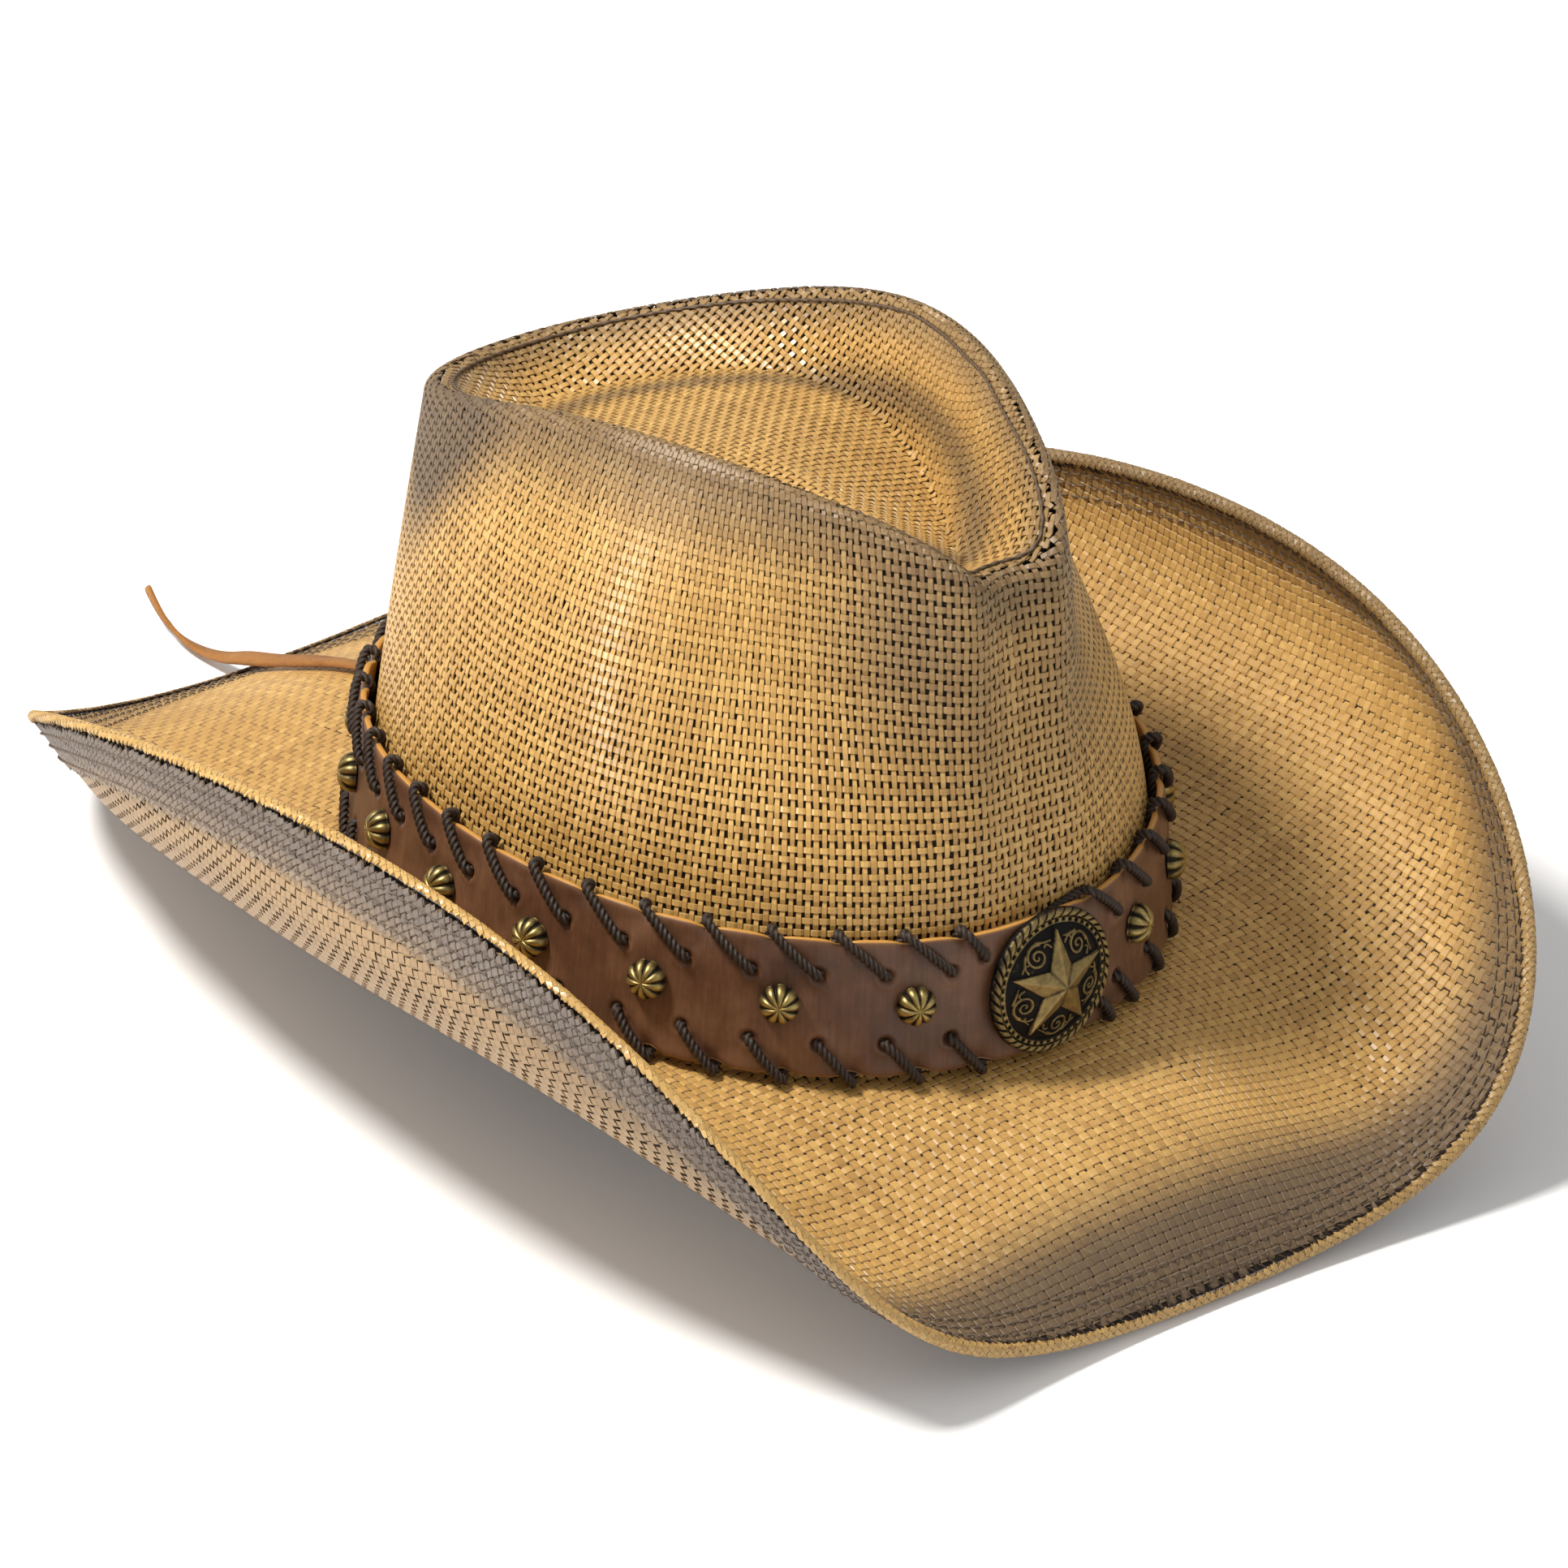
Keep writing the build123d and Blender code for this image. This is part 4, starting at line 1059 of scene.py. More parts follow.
def sweep(points, normals, section, closed=False, spin=None, ends=0.55):
    """Points and faces of a section carried along a path, with its ends closed."""
    points = np.asarray(points, dtype=float)
    count = len(points)
    if closed:
        tangent = np.roll(points, -1, axis=0) - np.roll(points, 1, axis=0)
    else:
        tangent = np.gradient(points, axis=0)
    tangent = unit(tangent)
    side = unit(np.cross(normals, tangent))
    up = np.cross(tangent, side)
    section = np.broadcast_to(section, (count, *np.shape(section)[-2:]))
    across, rise = section[..., 0], section[..., 1]
    if spin is not None:
        c, s = np.cos(spin)[:, None], np.sin(spin)[:, None]
        across, rise = across * c - rise * s, across * s + rise * c
    if not closed:
        scale = np.ones((count, 1))
        scale[0] = scale[-1] = ends
        across, rise = across * scale, rise * scale
    rings = points[:, None] + side[:, None] * across[..., None] + up[:, None] * rise[..., None]
    sides = section.shape[1]
    index = np.arange(count * sides).reshape(count, sides)
    verts = rings.reshape(-1, 3)
    tris = np.empty((0, 3), int)
    if not closed:
        verts = np.vstack([verts, points[0], points[-1]])
        tris = end_caps(index)
    return verts, tube_quads(index, closed), tris


def join(parts):
    """One mesh's points, quads, triangles and UV from several."""
    verts, quads, tris, uvs = [], [], [], []
    base = 0
    for part_verts, part_quads, part_tris, part_uv in parts:
        verts.append(part_verts)
        quads.append(part_quads + base)
        tris.append(part_tris + base)
        uvs.append(part_uv)
        base += len(part_verts)
    return np.vstack(verts), np.vstack(quads), np.vstack(tris), np.vstack(uvs)


def smooth_path(points, resolution):
    """Points along the smooth NURBS line of a route, in millimetres."""
    data = bpy.data.curves.new("route", "CURVE")
    data.dimensions = "3D"
    data.resolution_u = resolution
    spline = data.splines.new("NURBS")
    spline.points.add(len(points) - 1)
    for point, place_at in zip(spline.points, points):
        point.co = (*[float(value) * MM for value in place_at], 1.0)
    spline.order_u = 3
    spline.use_endpoint_u = True
    holder = bpy.data.objects.new("route", data)
    mesh = bpy.data.meshes.new_from_object(holder)
    flat = np.empty(len(mesh.vertices) * 3)
    mesh.vertices.foreach_get("co", flat)
    bpy.data.objects.remove(holder)
    bpy.data.curves.remove(data)
    bpy.data.meshes.remove(mesh)
    return flat.reshape(-1, 3) / MM


def even_path(points, step):
    """Points read from a smooth line at an even step along it, and their lengths."""
    lengths = lengths_along(points)
    wanted = np.linspace(0, lengths[-1], max(int(lengths[-1] / step), 2))
    return read_path(points, lengths, wanted), wanted


def carried_normals(points, start):
    """Normals carried along a path without twist."""
    normals = np.empty_like(points)
    normal = np.asarray(start, dtype=float)
    for i, along in enumerate(unit(np.gradient(points, axis=0))):
        normal = unit(normal - along * np.dot(normal, along))
        normals[i] = normal
    return normals


def add_stitches(name, material, nodes, centres, directions, normals, length, radius, dip):
    """Short threads that rise out of a surface and dive back into it, as one piece."""
    share = np.linspace(-0.5, 0.5, 5)
    section = round_section(radius, 6)
    bow = dip * (1 - (2 * share) ** 2) - dip * 0.55
    parts = []
    for centre, along, normal in zip(centres, directions, normals):
        points = centre + np.outer(share * length, along) + np.outer(bow, normal)
        mesh = sweep(points, np.tile(normal, (len(share), 1)), section)
        parts.append((*mesh, path_uv(len(share), len(section), share * length)))
    verts, quads, tris, uv = join(parts)
    piece = add_mesh(name, verts, quads, material, tris=tris, uv=uv)
    finish_piece(piece, "hat", "seam_thread", *nodes)


# ---------------------------------------------------------------- brim edge, seam and stitching


def edge_columns(azimuth, radius):
    """Radii and heights of an open arc round the wire in the brim's edge."""
    radii, heights = brim_columns(azimuth, 400)
    steps = np.hypot(np.diff(radii, axis=0), np.diff(heights, axis=0))
    lengths = np.vstack([np.zeros(len(azimuth)), np.cumsum(steps, axis=0)])

    def at_depth(depth):
        return np.array([[np.interp(lengths[-1, column] - depth, lengths[:, column], table[:, column])
                          for table in (radii, heights)] for column in range(len(azimuth))])

    middle = at_depth(WIRE_DEPTH)
    out = unit(middle - at_depth(WIRE_DEPTH + 2))
    centre = middle + (CLOTH + GAP / 2) * np.stack([out[:, 1], -out[:, 0]], axis=1)
    turn = np.radians(np.linspace(105.0, -105.0, 15))[:, None]
    along, across = radius * np.cos(turn), radius * np.sin(turn)
    return (centre[:, 0] + along * out[:, 0] - across * out[:, 1],
            centre[:, 1] + along * out[:, 1] + across * out[:, 0])


def build_edge():
    """The rolled edge: a plaited strand over a solid core, with dark stitches along its border."""
    azimuth = np.linspace(-math.pi, math.pi, 541)[:-1]
    outer, inner = (place(azimuth[None, :], *edge_columns(azimuth, radius)) for radius in EDGE_CORE_RADII)
    loop = np.concatenate([outer, inner[::-1]]).transpose(1, 0, 2)
    closed_skin("edge_core", loop, edge_core_paint, 1.8, "edge_straw", "edge_binding")

    sheet = Sheet(lambda columns: edge_columns(columns, EDGE_PLAIT_RADIUS), flipped=True)

    # Darker round the edge towards azimuth -105 degrees, and lightest at 75 degrees.
    def spray_at(_, azimuth):
        return 0.4 - 0.26 * np.cos(azimuth - math.radians(75))

    chart, half = strip_chart(sheet, spray_at)
    weave("edge_plait", chart, square(half), edge_straw, "edge_straw", "edge_binding", turn=EDGE_TURN,
          halves=False, **EDGE_WEAVE)

    border = Sheet(brim_columns, 0.0, flipped=True)
    length = lengths_along(border.grid[-1])
    azimuths = np.interp(np.arange(1.5, length[-1], EDGE_STITCH_PITCH), length, border.azimuth)
    reach = border.reach_at(azimuths)
    outer_depth, inner_depth = EDGE_STITCH_DEPTHS
    near, normals = border.sample(azimuths, 1 - outer_depth / reach)
    ahead = border.sample(wrap(azimuths + 0.008), 1 - inner_depth / reach)[0]
    add_stitches("edge_stitches", dark_thread, [], near + 0.2 * normals, unit(ahead - near), normals,
                 length=3.0, radius=0.2, dip=0.55)


def build_hem_stitching():
    """Rows of running stitches through brim and hem, seen above and below."""
    for name, inward, facing, radius in (("hem_stitches_under", 2 * CLOTH + 2 * GAP, -1, 0.18),
                                         ("hem_stitches_over", -0.02, 1, 0.2)):
        sheet = Sheet(brim_columns, inward, flipped=True)
        rows = []
        for distance in HEM_ROWS:
            line, normal = sheet.sample(sheet.azimuth, 1 - distance / sheet.reach)
            length = lengths_along(line)
            at = np.arange(2.0, length[-1] - 1.0, HEM_STITCH_PITCH)
            centre = read_path(line, length, at)
            along = unit(read_path(line, length, at + 0.5) - centre)
            rows.append((centre, along, facing * read_path(normal, length, at)))
        centres, directions, normals = map(np.vstack, zip(*rows))
        add_stitches(name, hem_thread, ["hem_stitching"], centres, directions, normals,
                     length=2.7, radius=radius, dip=0.5)


def build_tip_seam():
    """The narrow uneven seam just inside the ridge, as two strands laid together."""
    azimuth = np.linspace(-math.pi, math.pi, 1401)[:-1]
    sheet = Sheet(tip_columns, 0.0)
    drift = wobble(2, len(azimuth) + 1, 0.3)[:, :-1] * np.sin((azimuth + math.pi) / 2) ** 0.5
    points, normals = sheet.sample(azimuth, (SEAM_DEPTH + drift[0]) / sheet.reach_at(azimuth))
    points = points + (0.12 + 0.3 * drift[1])[:, None] * normals
    lengths = np.arange(len(points)) * 0.32
    spin = 2 * math.pi * np.round(lengths[-1] / SEAM_TWIST) * np.arange(len(points)) / len(points)
    turn = 2 * math.pi * np.arange(12) / 12
    lobes = 0.32 + 0.14 * np.abs(np.cos(turn))
    section = np.stack([lobes * np.cos(turn), lobes * 0.8 * np.sin(turn)], axis=-1)
    verts, quads, tris = sweep(points, normals, section, closed=True, spin=spin)
    uv = path_uv(len(points), 12, lengths, 0)
    flat = np.ones(len(verts))
    # The seam cord is darkened all over: nearly full spray and a share of the painted shade colour.
    piece = add_mesh("tip_seam_cord", verts, quads, straw, uv=uv, tone=0.3 * flat, spray=0.95 * flat,
                     under=0.35 * flat)
    finish_piece(piece, "hat", "seam_straw", "tip_seam")


def build_sweatband():
    """A soft leather band inside the head opening, with its row of stitches."""
    azimuth = np.linspace(-math.pi + 0.005, math.pi - 0.005, 361)
    low = look_up(OVAL, azimuth)[1]
    share = np.linspace(0, 1, 17)[:, None]
    heights = low + 0.5 + SWEATBAND_HEIGHT * share
    wall = wall_radius(azimuth[None, :], heights)
    ripple = 0.25 * np.sin(azimuth * 9) * np.sin(math.pi * share) * share
    outer = wall - SWEATBAND_INSET
    inner = outer - SWEATBAND_THICKNESS - 0.35 * np.sin(math.pi * share) - ripple
    rounded = 0.3 * (np.abs(2 * share - 1) ** 12)
    outside = place(azimuth[None, :], outer - rounded, heights)
    inside = place(azimuth[None, :], inner + rounded, heights)
    loop = np.concatenate([outside, inside[::-1]]).transpose(1, 0, 2)
    count, sides = loop.shape[:2]
    index = np.arange(count * sides).reshape(count, sides)
    half = sides // 2
    caps = []
    for ring, order in ((index[0], 1), (index[-1], -1)):
        for i in range(half - 1):
            caps.append([ring[i], ring[sides - 1 - i], ring[sides - 2 - i], ring[i + 1]][::order])
    quads = np.vstack([tube_quads(index, outward=False), caps])
    uv = path_uv(count, sides, np.arange(count) * 1.6, 0)
    band = add_mesh("sweatband_leather", loop.reshape(-1, 3), quads, sweat_leather, uv=uv)
    finish_piece(band, "hat", "sweatband_leather", "sweatband")

    at = np.linspace(-math.pi + 0.03, math.pi - 0.03, 160)
    level = look_up(OVAL, at)[1] + SWEATBAND_SEAM
    radius = wall_radius(at, level) - SWEATBAND_INSET - SWEATBAND_THICKNESS - 0.1
    centres = place(at, radius, level)
    outward = np.stack([-np.sin(at), -np.cos(at), 0 * at], axis=1)
    along = np.cross(np.tile((0, 0, 1.0), (len(at), 1)), outward)
    add_stitches("sweatband_stitches", hem_thread, ["sweatband_stitching"], centres, along, -outward,
                 length=2.6, radius=0.25, dip=0.5)


# ---------------------------------------------------------------- hatband


def measure_strap():
    azimuth = np.linspace(0.0, math.pi, TABLE_STEPS + 1)
    height = strap_bottom(azimuth) + STRAP_HEIGHT / 2
    radius = wall_radius(azimuth, height) + STRAP_STANDOFF + STRAP_THICKNESS
    return azimuth, lengths_along(place(azimuth, radius, height))


def strap_bottom(azimuth):
    return look_up(OVAL, azimuth)[1] + STRAP_CLEARANCE


STRAP_AZIMUTHS, STRAP_LENGTHS = measure_strap()
STRAP_HALF = float(STRAP_LENGTHS[-1])
STUD_LEVEL = STRAP_HEIGHT / 2 + 1.0
TIE_LEVEL = STRAP_HEIGHT / 2


def on_strap(length, rise, stand):
    """Points at lengths along the strap, rises over its lower edge and stands off its face."""
    length = np.asarray(length, dtype=float)
    over = np.abs(length) > STRAP_HALF
    length = np.where(over, length - np.copysign(2 * STRAP_HALF, length), length)
    azimuth = np.copysign(np.interp(np.abs(length), STRAP_LENGTHS, STRAP_AZIMUTHS), length)
    low = strap_bottom(azimuth)
    face = wall_radius(azimuth, low + np.clip(rise, 0, STRAP_HEIGHT)) + STRAP_STANDOFF + STRAP_THICKNESS
    return place(azimuth, face + stand, low + rise)


def strap_frame(length, rise, stand=0.0):
    """Origin and axes on the strap's face: along, up and out."""
    origin = on_strap(length, rise, stand)
    along = unit(on_strap(length - 1, rise, stand) - on_strap(length + 1, rise, stand))
    up = unit(on_strap(length, rise + 1, stand) - on_strap(length, rise - 1, stand))
    out = unit(np.cross(along, up))
    return origin, np.stack([along, np.cross(out, along), out])


def lacing_stitches(slant):
    """Length, hole inset and slant of a row's stitches, from one strap end round to the other."""
    side = [LACE_FIRST + LACE_PITCH * i for i in range(LACE_SIDE_STITCHES)]
    away = math.copysign(1, slant)
    before = [(away * length, LACE_HOLE_INSET, slant) for length in reversed(side)]
    beside = [(away * NEAR_STITCH, NEAR_INSET, away * NEAR_SLANT)]
    after = [(-away * length, LACE_HOLE_INSET, slant) for length in side]
    return before + beside + after


def stud_lengths():
    side = [STUD_FIRST + STUD_PITCH * i for i in range(STUDS_PER_SIDE)]
    return [*reversed(side), *[-length for length in side]]


def strap_dents(lengths, rises):
    """How the lacing and studs pull the leather: a stand and a rise change at each point."""
    stand = 0.12 * np.sin(lengths * 0.11 + 1.0) * np.sin(rises * 0.16) + 0 * rises
    shift = np.zeros_like(stand)
    for slant, upper in ((UPPER_SLANT, True), (-LOWER_SLANT, False)):
        edge = STRAP_HEIGHT if upper else 0.0
        from_edge = np.abs(edge - rises)
        near_edge = np.exp(-((from_edge / 3.2) ** 2))
        pull = np.zeros_like(stand)
        for length, inset, lean in lacing_stitches(slant):
            hole_rise = STRAP_HEIGHT - inset if upper else inset
            distance = np.hypot(lengths - length, rises - hole_rise)
            stand -= 1.45 * np.exp(-((distance / 1.25) ** 2))
            stand += 0.3 * np.exp(-(((distance - 2.5) / 0.9) ** 2))
            run = np.array([lean, edge - hole_rise])
            share = ((lengths - length) * run[0] + (rises - hole_rise) * run[1]) / (run @ run)
            share = np.clip(share, 0, 1)
            off = np.hypot(lengths - length - share * run[0], rises - hole_rise - share * run[1])
            stand -= 0.3 * np.exp(-((off / 1.2) ** 2)) * smooth_share(share * 3)
            pull = np.maximum(pull, np.exp(-(((lengths - length - lean) / 3.0) ** 2)))
        stand += near_edge * (0.35 - 1.0 * pull)
        shift += (-1 if upper else 1) * near_edge * (1.1 * pull - 0.25)
    for length in stud_lengths():
        distance = np.hypot(lengths - length, rises - STUD_LEVEL)
        stand -= 0.28 * np.exp(-((distance / 5.6) ** 4))
    return stand, shift


def build_strap():
    """The leather strap: front, raw edges and back in one closed mesh, pulled in at its lacing."""
    end = STRAP_HALF - STRAP_END_GAP / 2
    lengths = np.linspace(-end, end, 1261)
    fine = np.arange(-3.2, 3.3, 0.5)
    rises = np.concatenate([
        [0.0, 0.3, 0.8, 1.6, 2.6, 3.7], LACE_HOLE_INSET + fine, np.arange(12.6, 20.6, 1.3),
        STRAP_HEIGHT - LACE_HOLE_INSET + fine,
        [29.0, 30.2, 31.1, STRAP_HEIGHT - 0.8, STRAP_HEIGHT - 0.3, STRAP_HEIGHT],
    ])
    rises = np.sort(rises)
    face_l, face_r = np.meshgrid(lengths, rises, indexing="ij")
    stand, shift = strap_dents(face_l, face_r)
    corner = np.minimum(face_r, STRAP_HEIGHT - face_r)
    stand -= 0.35 * np.clip(1 - corner / 0.8, 0, 1) ** 2
    top_rise, top_stand = face_r[:, -1:] + shift[:, -1:], stand[:, -1:]
    low_rise, low_stand = face_r[:, :1] + shift[:, :1], stand[:, :1]
    over = np.array([[-0.12, -0.6, -1.1, -1.5]])
    swell = np.array([[0.12, 0.16, 0.12, -0.1]])
    bare = np.array([[1, 1, 1, 0.8]])
    back = 0 * top_rise + np.array([[24.0, 16.0, 8.0]])
    # each row goes up the face, over the upper raw edge, down the back and round the lower raw edge
    rise = np.hstack([face_r + shift, top_rise + swell, back, low_rise - swell[:, ::-1]])
    depth = np.hstack([stand, top_stand * 0.6 + over, 0 * back - STRAP_THICKNESS,
                       low_stand * 0.6 + over[:, ::-1]])
    raw = np.hstack([0 * face_r, 0 * top_rise + bare, 0 * back + 0.5, 0 * low_rise + bare[:, ::-1]])
    raw[:, 0] = raw[:, len(rises) - 1] = 0.35
    raw[:, len(rises) + 7:] *= 0.35
    rim = np.hstack([np.exp(-corner / 1.5), np.zeros((len(lengths), 11))])
    count, sides = rise.shape
    spread = np.repeat(lengths[:, None], sides, axis=1)
    points = on_strap(spread, rise, depth)
    index = np.arange(count * sides).reshape(count, sides)
    across = np.concatenate([rises, STRAP_HEIGHT + np.arange(1, 12)])
    uv = np.stack([spread.ravel(), np.tile(across, count)], axis=1)
    verts = np.vstack([points.reshape(-1, 3), points[0].mean(axis=0), points[-1].mean(axis=0)])
    uv = np.vstack([uv, uv[:2]])
    piece = add_mesh("strap_leather", verts, tube_quads(index), strap_paint, uv=uv, tris=end_caps(index),
                     raw=np.append(raw.ravel(), [1, 1]), rim=np.append(rim.ravel(), [1, 1]))
    finish_piece(piece, "hatband", "strap_leather", "hatband_strap")


def lacing_route(slant):
    """Bends of a whip-stitched cord, as lengths, rises and stands on the strap."""
    upper = slant > 0
    edge = STRAP_HEIGHT + LACE_OVER if upper else -LACE_OVER
    route = []
    stitches_here = lacing_stitches(slant)
    for number, (length, inset, lean) in enumerate(stitches_here):
        rise = STRAP_HEIGHT - inset if upper else inset
        if number > 0:
            sway = float(dice.normal(0, 0.35))
            for share, stand in LACE_BENDS:
                bow = sway * math.sin(math.pi * max(share, 0))
                route.append((length + lean * (1 - share) + bow, edge + (rise - edge) * share, stand))
        route += [(length, rise, 0.75), (length, rise, -0.9), (length, rise, LACE_BACK_STAND)]
        if number < len(stitches_here) - 1:
            next_length, _, next_lean = stitches_here[number + 1]
            target = next_length + next_lean
            steps = max(int(abs(target - length) / LACE_BACK_STEP), 1)
            for step in range(1, steps + 1):
                share = step / steps
                between = length + (target - length) * share
                route.append((between, rise + (edge - rise) * share * 0.96, LACE_BACK_STAND))
    return np.array(route)


def twisted_section(radius, strands, per_strand, depth):
    """The outline of a few round strands twisted together, with how deep each point lies."""
    turn = 2 * math.pi * np.arange(strands * per_strand) / (strands * per_strand)
    nearest = np.abs(np.remainder(turn + math.pi / strands, 2 * math.pi / strands) - math.pi / strands)
    reach = np.maximum(np.cos(nearest), depth)
    outline = radius * np.stack([reach * np.cos(turn), reach * np.sin(turn)], axis=-1)
    return outline, (reach - depth) / (1 - depth)


def build_lacing(name, node, slant):
    """One row of twisted cord, whip-stitched over an edge of the strap."""
    route = lacing_route(slant)
    line = smooth_path(on_strap(route[:, 0], route[:, 1], route[:, 2]), 10)
    points, lengths = even_path(line, 0.3)
    section, high = twisted_section(LACE_RADIUS, 3, 6, 0.66)
    normals = carried_normals(points, (0.0, 0.0, 1.0))
    verts, quads, tris = sweep(points, normals, section, spin=lengths * 2 * math.pi / LACE_TWIST)
    uv = path_uv(len(points), len(section), lengths)
    # crest is one on the strands' crests and falls to none in the grooves, where the cord is darkened as
    # painted shade.
    crest = np.append(np.tile(high, len(points)), [1, 1])
    piece = add_mesh(name, verts, quads, cord_paint, uv=uv, tris=tris, crest=crest)
    finish_piece(piece, "hatband", "waxed_cord", node)


def polar_mesh(name, radii, heights, angles, material, frame_at, **attributes):
    """A closed round piece from rings of points: radii and heights by ring and by angle."""
    rings, turns = np.broadcast_shapes(radii.shape, heights.shape)
    origin, axes = frame_at
    x = radii * np.cos(angles)
    y = radii * np.sin(angles)
    local = np.stack(np.broadcast_arrays(x, y, heights), axis=-1).reshape(-1, 3)
    local = np.vstack([local, [0, 0, heights[0].mean()], [0, 0, heights[-1].mean()]])
    verts = origin + local @ axes
    index = np.arange(rings * turns).reshape(rings, turns)
    extra = {}
    for key, value in attributes.items():
        value = np.broadcast_to(value, (rings, turns))
        extra[key] = np.append(value.ravel(), [value[0].mean(), value[-1].mean()])
    return add_mesh(name, verts, tube_quads(index), material, tris=end_caps(index), **extra)


def build_studs():
    """Fluted melon domes, each turned its own way, without the prongs behind the strap."""
    turn = np.linspace(0, 2 * math.pi, 120, endpoint=False)[None, :]
    swell = np.linspace(0.04, 1.0, 22)[:, None]
    for number, length in enumerate(stud_lengths(), 1):
        phase = dice.uniform(0, 2 * math.pi)
        lobe = np.abs(np.sin(STUD_LOBES * (turn + phase) / 2)) ** 0.65
        tilt = swell * math.pi / 2
        bite = np.sin(np.clip(swell * 1.15, 0, 1) * math.pi / 2) ** 0.8
        radii = STUD_RADIUS * np.sin(tilt) ** 0.95 * (1 - 0.13 * bite * (1 - lobe))
        heights = STUD_RISE * (np.cos(tilt) ** 0.8 * 0.97 + 0.03)
        heights = heights * (1 - 0.3 * bite * (1 - lobe) * (1 - 0.3 * swell))
        heights = heights - 0.35 * bump_at(swell, 0, 0.13)
        relief = np.clip(1.1 - 1.9 * (1 - lobe) * bite, 0, 1) * (1 - 0.5 * swell**6)
        radii = np.vstack([radii, radii[-1:], radii[-1:] * 0.96])
        heights = np.vstack([heights, 0 * heights[-1:] + 0.15, 0 * heights[-1:]])
        relief = np.vstack([relief, relief[-1:] * 0.2, relief[-1:] * 0])
        piece = polar_mesh(f"stud_head_{number:02d}", radii, heights, turn, stud_brass,
                           strap_frame(length, STUD_LEVEL, 0.0), relief=relief)
        finish_piece(piece, "hatband", "antique_brass", f"stud_{number:02d}")


def volute_lines():
    """Middle lines of the scrollwork between the star's arms, with a width at each point."""
    lines = []
    for arm in range(5):
        middle = math.radians(90 + 36 + 72 * arm)
        hand = 1 if arm in (0, 2, 4) else -1
        turn = np.linspace(0, 3.6 * math.pi, 90)
        size = 3.1 * (1 - turn / (3.9 * math.pi))
        centre = (10.7 * math.cos(middle), 10.7 * math.sin(middle))
        angle = middle + hand * (turn - 0.9)
        lines.append((centre[0] + size * np.cos(angle), centre[1] + size * np.sin(angle),
                      0.52 - 0.2 * turn / turn[-1]))
        for side, reach in ((1, 1.0), (-1, 0.8)):
            bend = np.linspace(0, 1, 30)
            sweep_angle = middle + side * (0.16 + 0.3 * bend)
            radius = 13.4 - 1.3 * bend**2 - 0.7 * reach * np.sin(math.pi * bend)
            lines.append((radius * np.cos(sweep_angle), radius * np.sin(sweep_angle), 0.46 - 0.22 * bend))
            bend = np.linspace(0, 1, 24)
            sweep_angle = middle + side * (0.42 - 0.16 * bend)
            radius = 10.6 + 1.5 * np.sin(2.4 * bend) * reach
            lines.append((radius * np.cos(sweep_angle), radius * np.sin(sweep_angle), 0.4 - 0.12 * bend))
    return lines


def scrollwork(radius, angle):
    """How strongly the raised scrolls stand out at each point of the concho's face."""
    x, y = radius * np.cos(angle), radius * np.sin(angle)
    scroll = np.zeros(radius.shape)
    for line in volute_lines():
        for middle_x, middle_y, width in zip(*line):
            near = ((x - middle_x) ** 2 + (y - middle_y) ** 2) / (width * width)
            scroll = np.maximum(scroll, np.sqrt(np.clip(1 - near, 0, 1)))
    return scroll * (radius < CONCHO_RADIUS - CONCHO_RIM - 0.5)


def concho_rim(radius, angle):
    """Height and relief of the concho's border: a ring of teeth inside a rope."""
    depth = radius - CONCHO_RADIUS + CONCHO_RIM
    bevel = np.clip((radius - CONCHO_RADIUS + CONCHO_RIM_SLOPE) / CONCHO_RIM_SLOPE, 0, 1)
    height = CONCHO_RIM_TOP + 0.1 - (CONCHO_RIM_TOP - CONCHO_EDGE) * bevel**2
    on_rope = smooth_share((depth - 1.45) / 0.15)
    within = np.remainder(angle * CONCHO_TEETH / (2 * math.pi), 1.0)
    gap = smooth_share((np.abs(within - 0.5) - 0.2) / 0.08)
    tooth = gap * (depth > 0.15) * (depth < 1.0) + np.exp(-(((depth - 1.25) / 0.16) ** 4))
    tooth = np.clip(tooth, 0, 1) * (1 - on_rope)
    rope = np.remainder(angle * CONCHO_ROPE_TURNS / (2 * math.pi) + (radius - CONCHO_RADIUS) * 0.42, 1.0)
    strand = np.sin(math.pi * rope)
    notch = np.clip(1 - strand * 1.7, 0, 1) * on_rope
    height = height - 0.6 * tooth - 0.65 * notch + 0.2 * on_rope * strand**0.6
    return height, np.clip(0.8 - tooth - 1.2 * notch, 0, 1) * (1 - 0.5 * bevel)


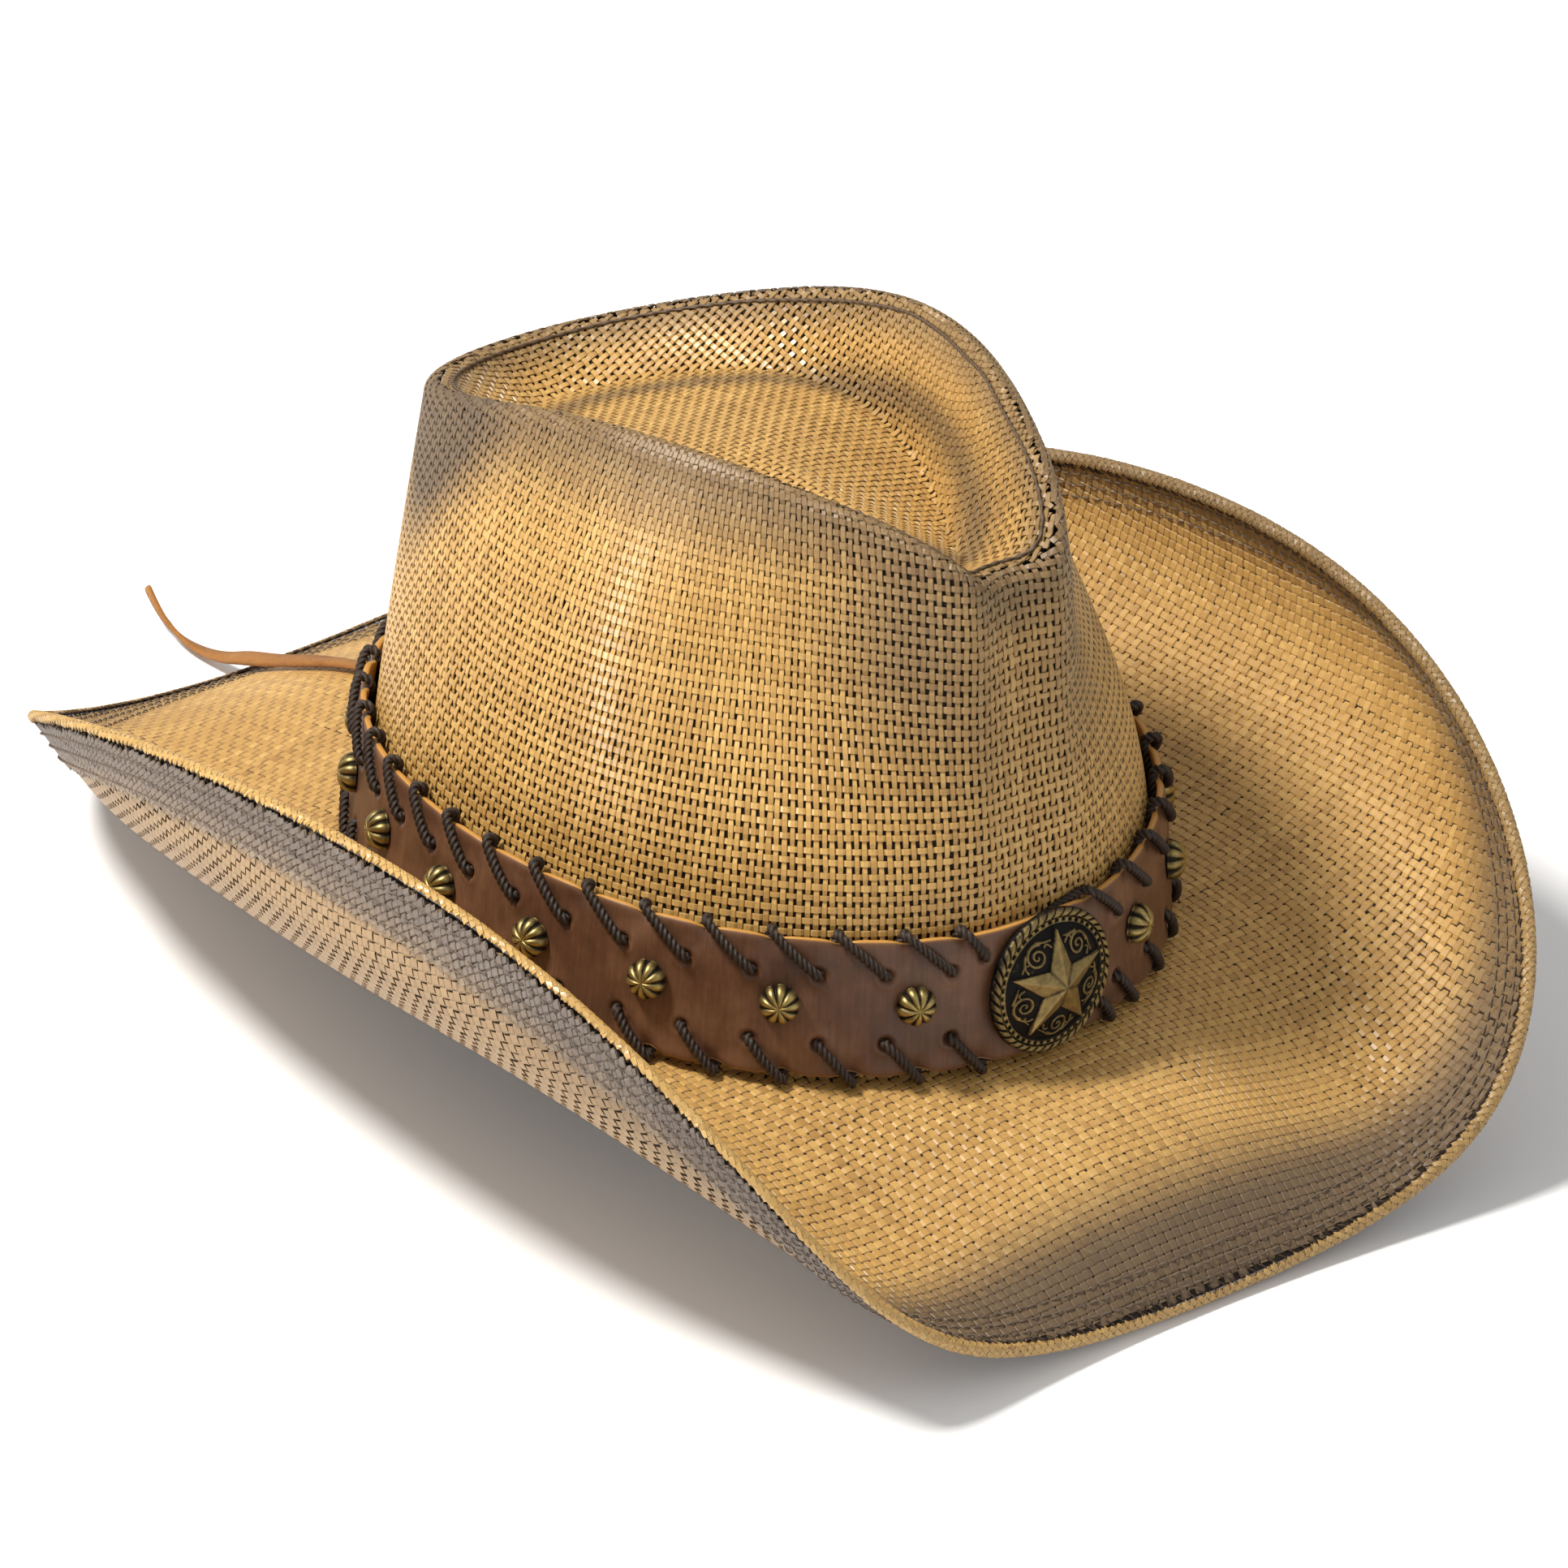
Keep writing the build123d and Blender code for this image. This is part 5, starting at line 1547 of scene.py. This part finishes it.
def concho_field(radius, angle):
    """Height and relief of the concho's face: scrolls on a dome, the border and the star."""
    inner = CONCHO_RADIUS - CONCHO_RIM
    share = np.clip(radius / inner, 0, 1)
    scroll = scrollwork(radius, angle)
    height = CONCHO_RIM_TOP - 0.35 + (CONCHO_DOME - CONCHO_RIM_TOP) * (1 - share**2) + 0.65 * scroll
    relief = np.maximum(0.05, 0.75 * scroll)

    rim = smooth_share((radius - inner + 0.1) / 0.15)
    rim_height, rim_relief = concho_rim(radius, angle)
    height = height * (1 - rim) + rim_height * rim
    ring = np.exp(-(((radius - inner + 0.1) / 0.22) ** 4))
    height = np.where(ring > 0.5, np.maximum(height, CONCHO_RIM_TOP + 0.22), height)
    relief = relief * (1 - rim) + rim_relief * rim

    # each half arm of the star is a flat facet between the apex, a tip and a waist corner
    sector = np.remainder(angle - math.radians(90) + math.pi / 5, 2 * math.pi / 5) - math.pi / 5
    along, across = radius * np.cos(sector), np.abs(radius * np.sin(sector))
    waist_part = across / (STAR_WAIST * math.sin(math.pi / 5))
    tip_part = (along - waist_part * STAR_WAIST * math.cos(math.pi / 5)) / STAR_RADIUS
    apex_part = 1 - waist_part - tip_part
    star = apex_part * STAR_APEX + tip_part * STAR_TIP_HEIGHT + waist_part * STAR_WAIST_HEIGHT
    inside = (apex_part >= 0) & (tip_part >= -1e-6)
    star_relief = 0.85 + 0.15 * bump_at(across, 0, 0.5) - 0.45 * bump_at(tip_part * 18, 0, 1)
    star_relief = np.clip(star_relief, 0, 1)
    border = np.exp(-np.clip(apex_part, 0, 1) * 30)
    height = np.where(inside, np.maximum(star, height), height)
    relief = np.where(inside, star_relief - 0.25 * border, relief)
    halo = (~inside) & (apex_part > -0.07) & (radius < inner - 0.4)
    height = np.where(halo, height - 0.5 * scroll, height)
    return height, np.where(halo, 0.03, relief)


def build_concho():
    """The star concho, its face finely worked and its back hollowed."""
    angle = np.linspace(0, 2 * math.pi, 800, endpoint=False)[None, :]
    radius = np.concatenate([np.linspace(0.1, 14.6, 118), np.linspace(14.7, CONCHO_RADIUS, 34)])[:, None]
    height, relief = concho_field(radius + 0 * angle, angle + 0 * radius)
    back = np.array([(CONCHO_RADIUS, 0.4), (CONCHO_RADIUS - 0.3, 0.0), (CONCHO_RADIUS - 1.0, 0.05),
                     (14.6, 0.9), (10.0, 2.4), (6.0, 3.5), (3.0, 4.0), (0.2, 4.1)])
    back_radius, back_height = back[:, :1], back[:, 1:]
    radii = CONCHO_TRIM * np.vstack([radius + 0 * angle, back_radius + 0 * angle])
    heights = np.vstack([height, back_height + 0 * angle])
    reliefs = np.vstack([relief, 0 * back_height + 0 * angle + 0.1])
    piece = polar_mesh("concho_star", radii, heights, angle, concho_brass,
                       strap_frame(0.0, STUD_LEVEL, CONCHO_SEAT), relief=reliefs)
    finish_piece(piece, "hatband", "antique_brass", "concho")


def build_tie():
    """The suede lace through both strap ends, and its knot behind them."""
    end = STRAP_HALF - TIE_HOLE_OFFSET
    back = -STRAP_THICKNESS - TIE_THICKNESS / 2 - 0.15
    half = np.array([
        (STRAP_HALF - 0.5, 4.0), (STRAP_HALF - 3.5, 2.6), (end + 2.2, 1.3), (end + 0.4, 1.1), (end, 0.2),
        (end, -1.5), (end + 0.4, back), (end + 3.5, back), (STRAP_HALF - 1.5, back),
    ])
    whole = np.vstack([half, half[::-1] * (-1, 1)])
    level = on_strap(STRAP_HALF, TIE_LEVEL, 0)
    control = on_strap(whole[:, 0], TIE_LEVEL, whole[:, 1])
    control[:, 2] = level[2]
    points, along = even_path(smooth_path(control, 10), 0.4)
    tangent = np.gradient(points, axis=0)
    flat = np.cross(tangent, (0.0, 0.0, 1.0))
    section = flat_section(TIE_WIDTH, TIE_THICKNESS)
    loop = (*sweep(points, flat, section), path_uv(len(points), len(section), along))
    middle = level + np.array([0.0, KNOT_STAND, 0.0])
    pieces = [loop]
    for lean, width, bulge, skew in KNOT_TURNS:
        turn = np.linspace(0, 2 * math.pi, 73)[:-1]
        round_x, round_y = bulge[0] * np.cos(turn), bulge[1] * np.sin(turn)
        ring = np.stack([round_x * math.cos(lean), round_y, round_x * math.sin(lean) + skew], axis=1)
        outward = ring * (1 / bulge[0] ** 2, 1 / bulge[1] ** 2, 1 / bulge[2] ** 2)
        band = flat_section(width, 1.2)
        mesh = sweep(middle + ring, outward, band, closed=True)
        pieces.append((*mesh, path_uv(len(turn), len(band), np.arange(len(turn)) * 0.3, 0)))
    verts, quads, tris, uv = join(pieces)
    piece = add_mesh("lace_and_knot", verts, quads, suede_paint, uv=uv, tris=tris)
    finish_piece(piece, "hatband", "suede_lace", "tie_lace")


def build_tail():
    """The lace's free end: a flat strip over the back of the brim, twisting and thinning at its tip."""
    route = [(0.0, y, z) for y, z in TAIL_ROUTE]
    points, lengths = even_path(smooth_path(route, 12), 0.8)
    share = lengths / lengths[-1]
    section = flat_section(TAIL_WIDTH, TAIL_THICKNESS)
    narrow = 1 - 0.3 * smooth_share((share - 0.55) / 0.45) - 0.12 * np.sin(share * 17 + 1) ** 2
    thin = 1 - 0.25 * smooth_share((share - 0.7) / 0.3)
    sections = section[None] * np.stack([narrow, thin], axis=1)[:, None]
    twist = 0.25 * np.sin(share * 7.0) + 1.15 * smooth_share((share - 0.72) / 0.26)
    normals = carried_normals(points, (0.0, 1.0, 0.0))
    verts, quads, tris = sweep(points, normals, sections, spin=twist, ends=0.8)
    uv = path_uv(len(points), len(section), lengths)
    piece = add_mesh("lace_tail", verts, quads, suede_paint, uv=uv, tris=tris)
    finish_piece(piece, "hatband", "suede_lace", "tie_tail")


def dress_cad():
    """Better materials for the CAD nodes that keep their own shape."""
    for node, paint in (("brim_wire", steel), ("concho_screw", plain_brass)):
        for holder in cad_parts[node].material_slots:
            holder.material = paint


add_stage()
build_tail()
build_crown()
build_tip()
build_brim()
build_hem()
build_tip_seam()
build_edge()
build_hem_stitching()
build_sweatband()
build_strap()
build_lacing("lacing_upper", "upper_lacing", UPPER_SLANT)
build_lacing("lacing_lower", "lower_lacing", -LOWER_SLANT)
build_studs()
build_concho()
build_tie()
dress_cad()


bpy.context.view_layer.update()
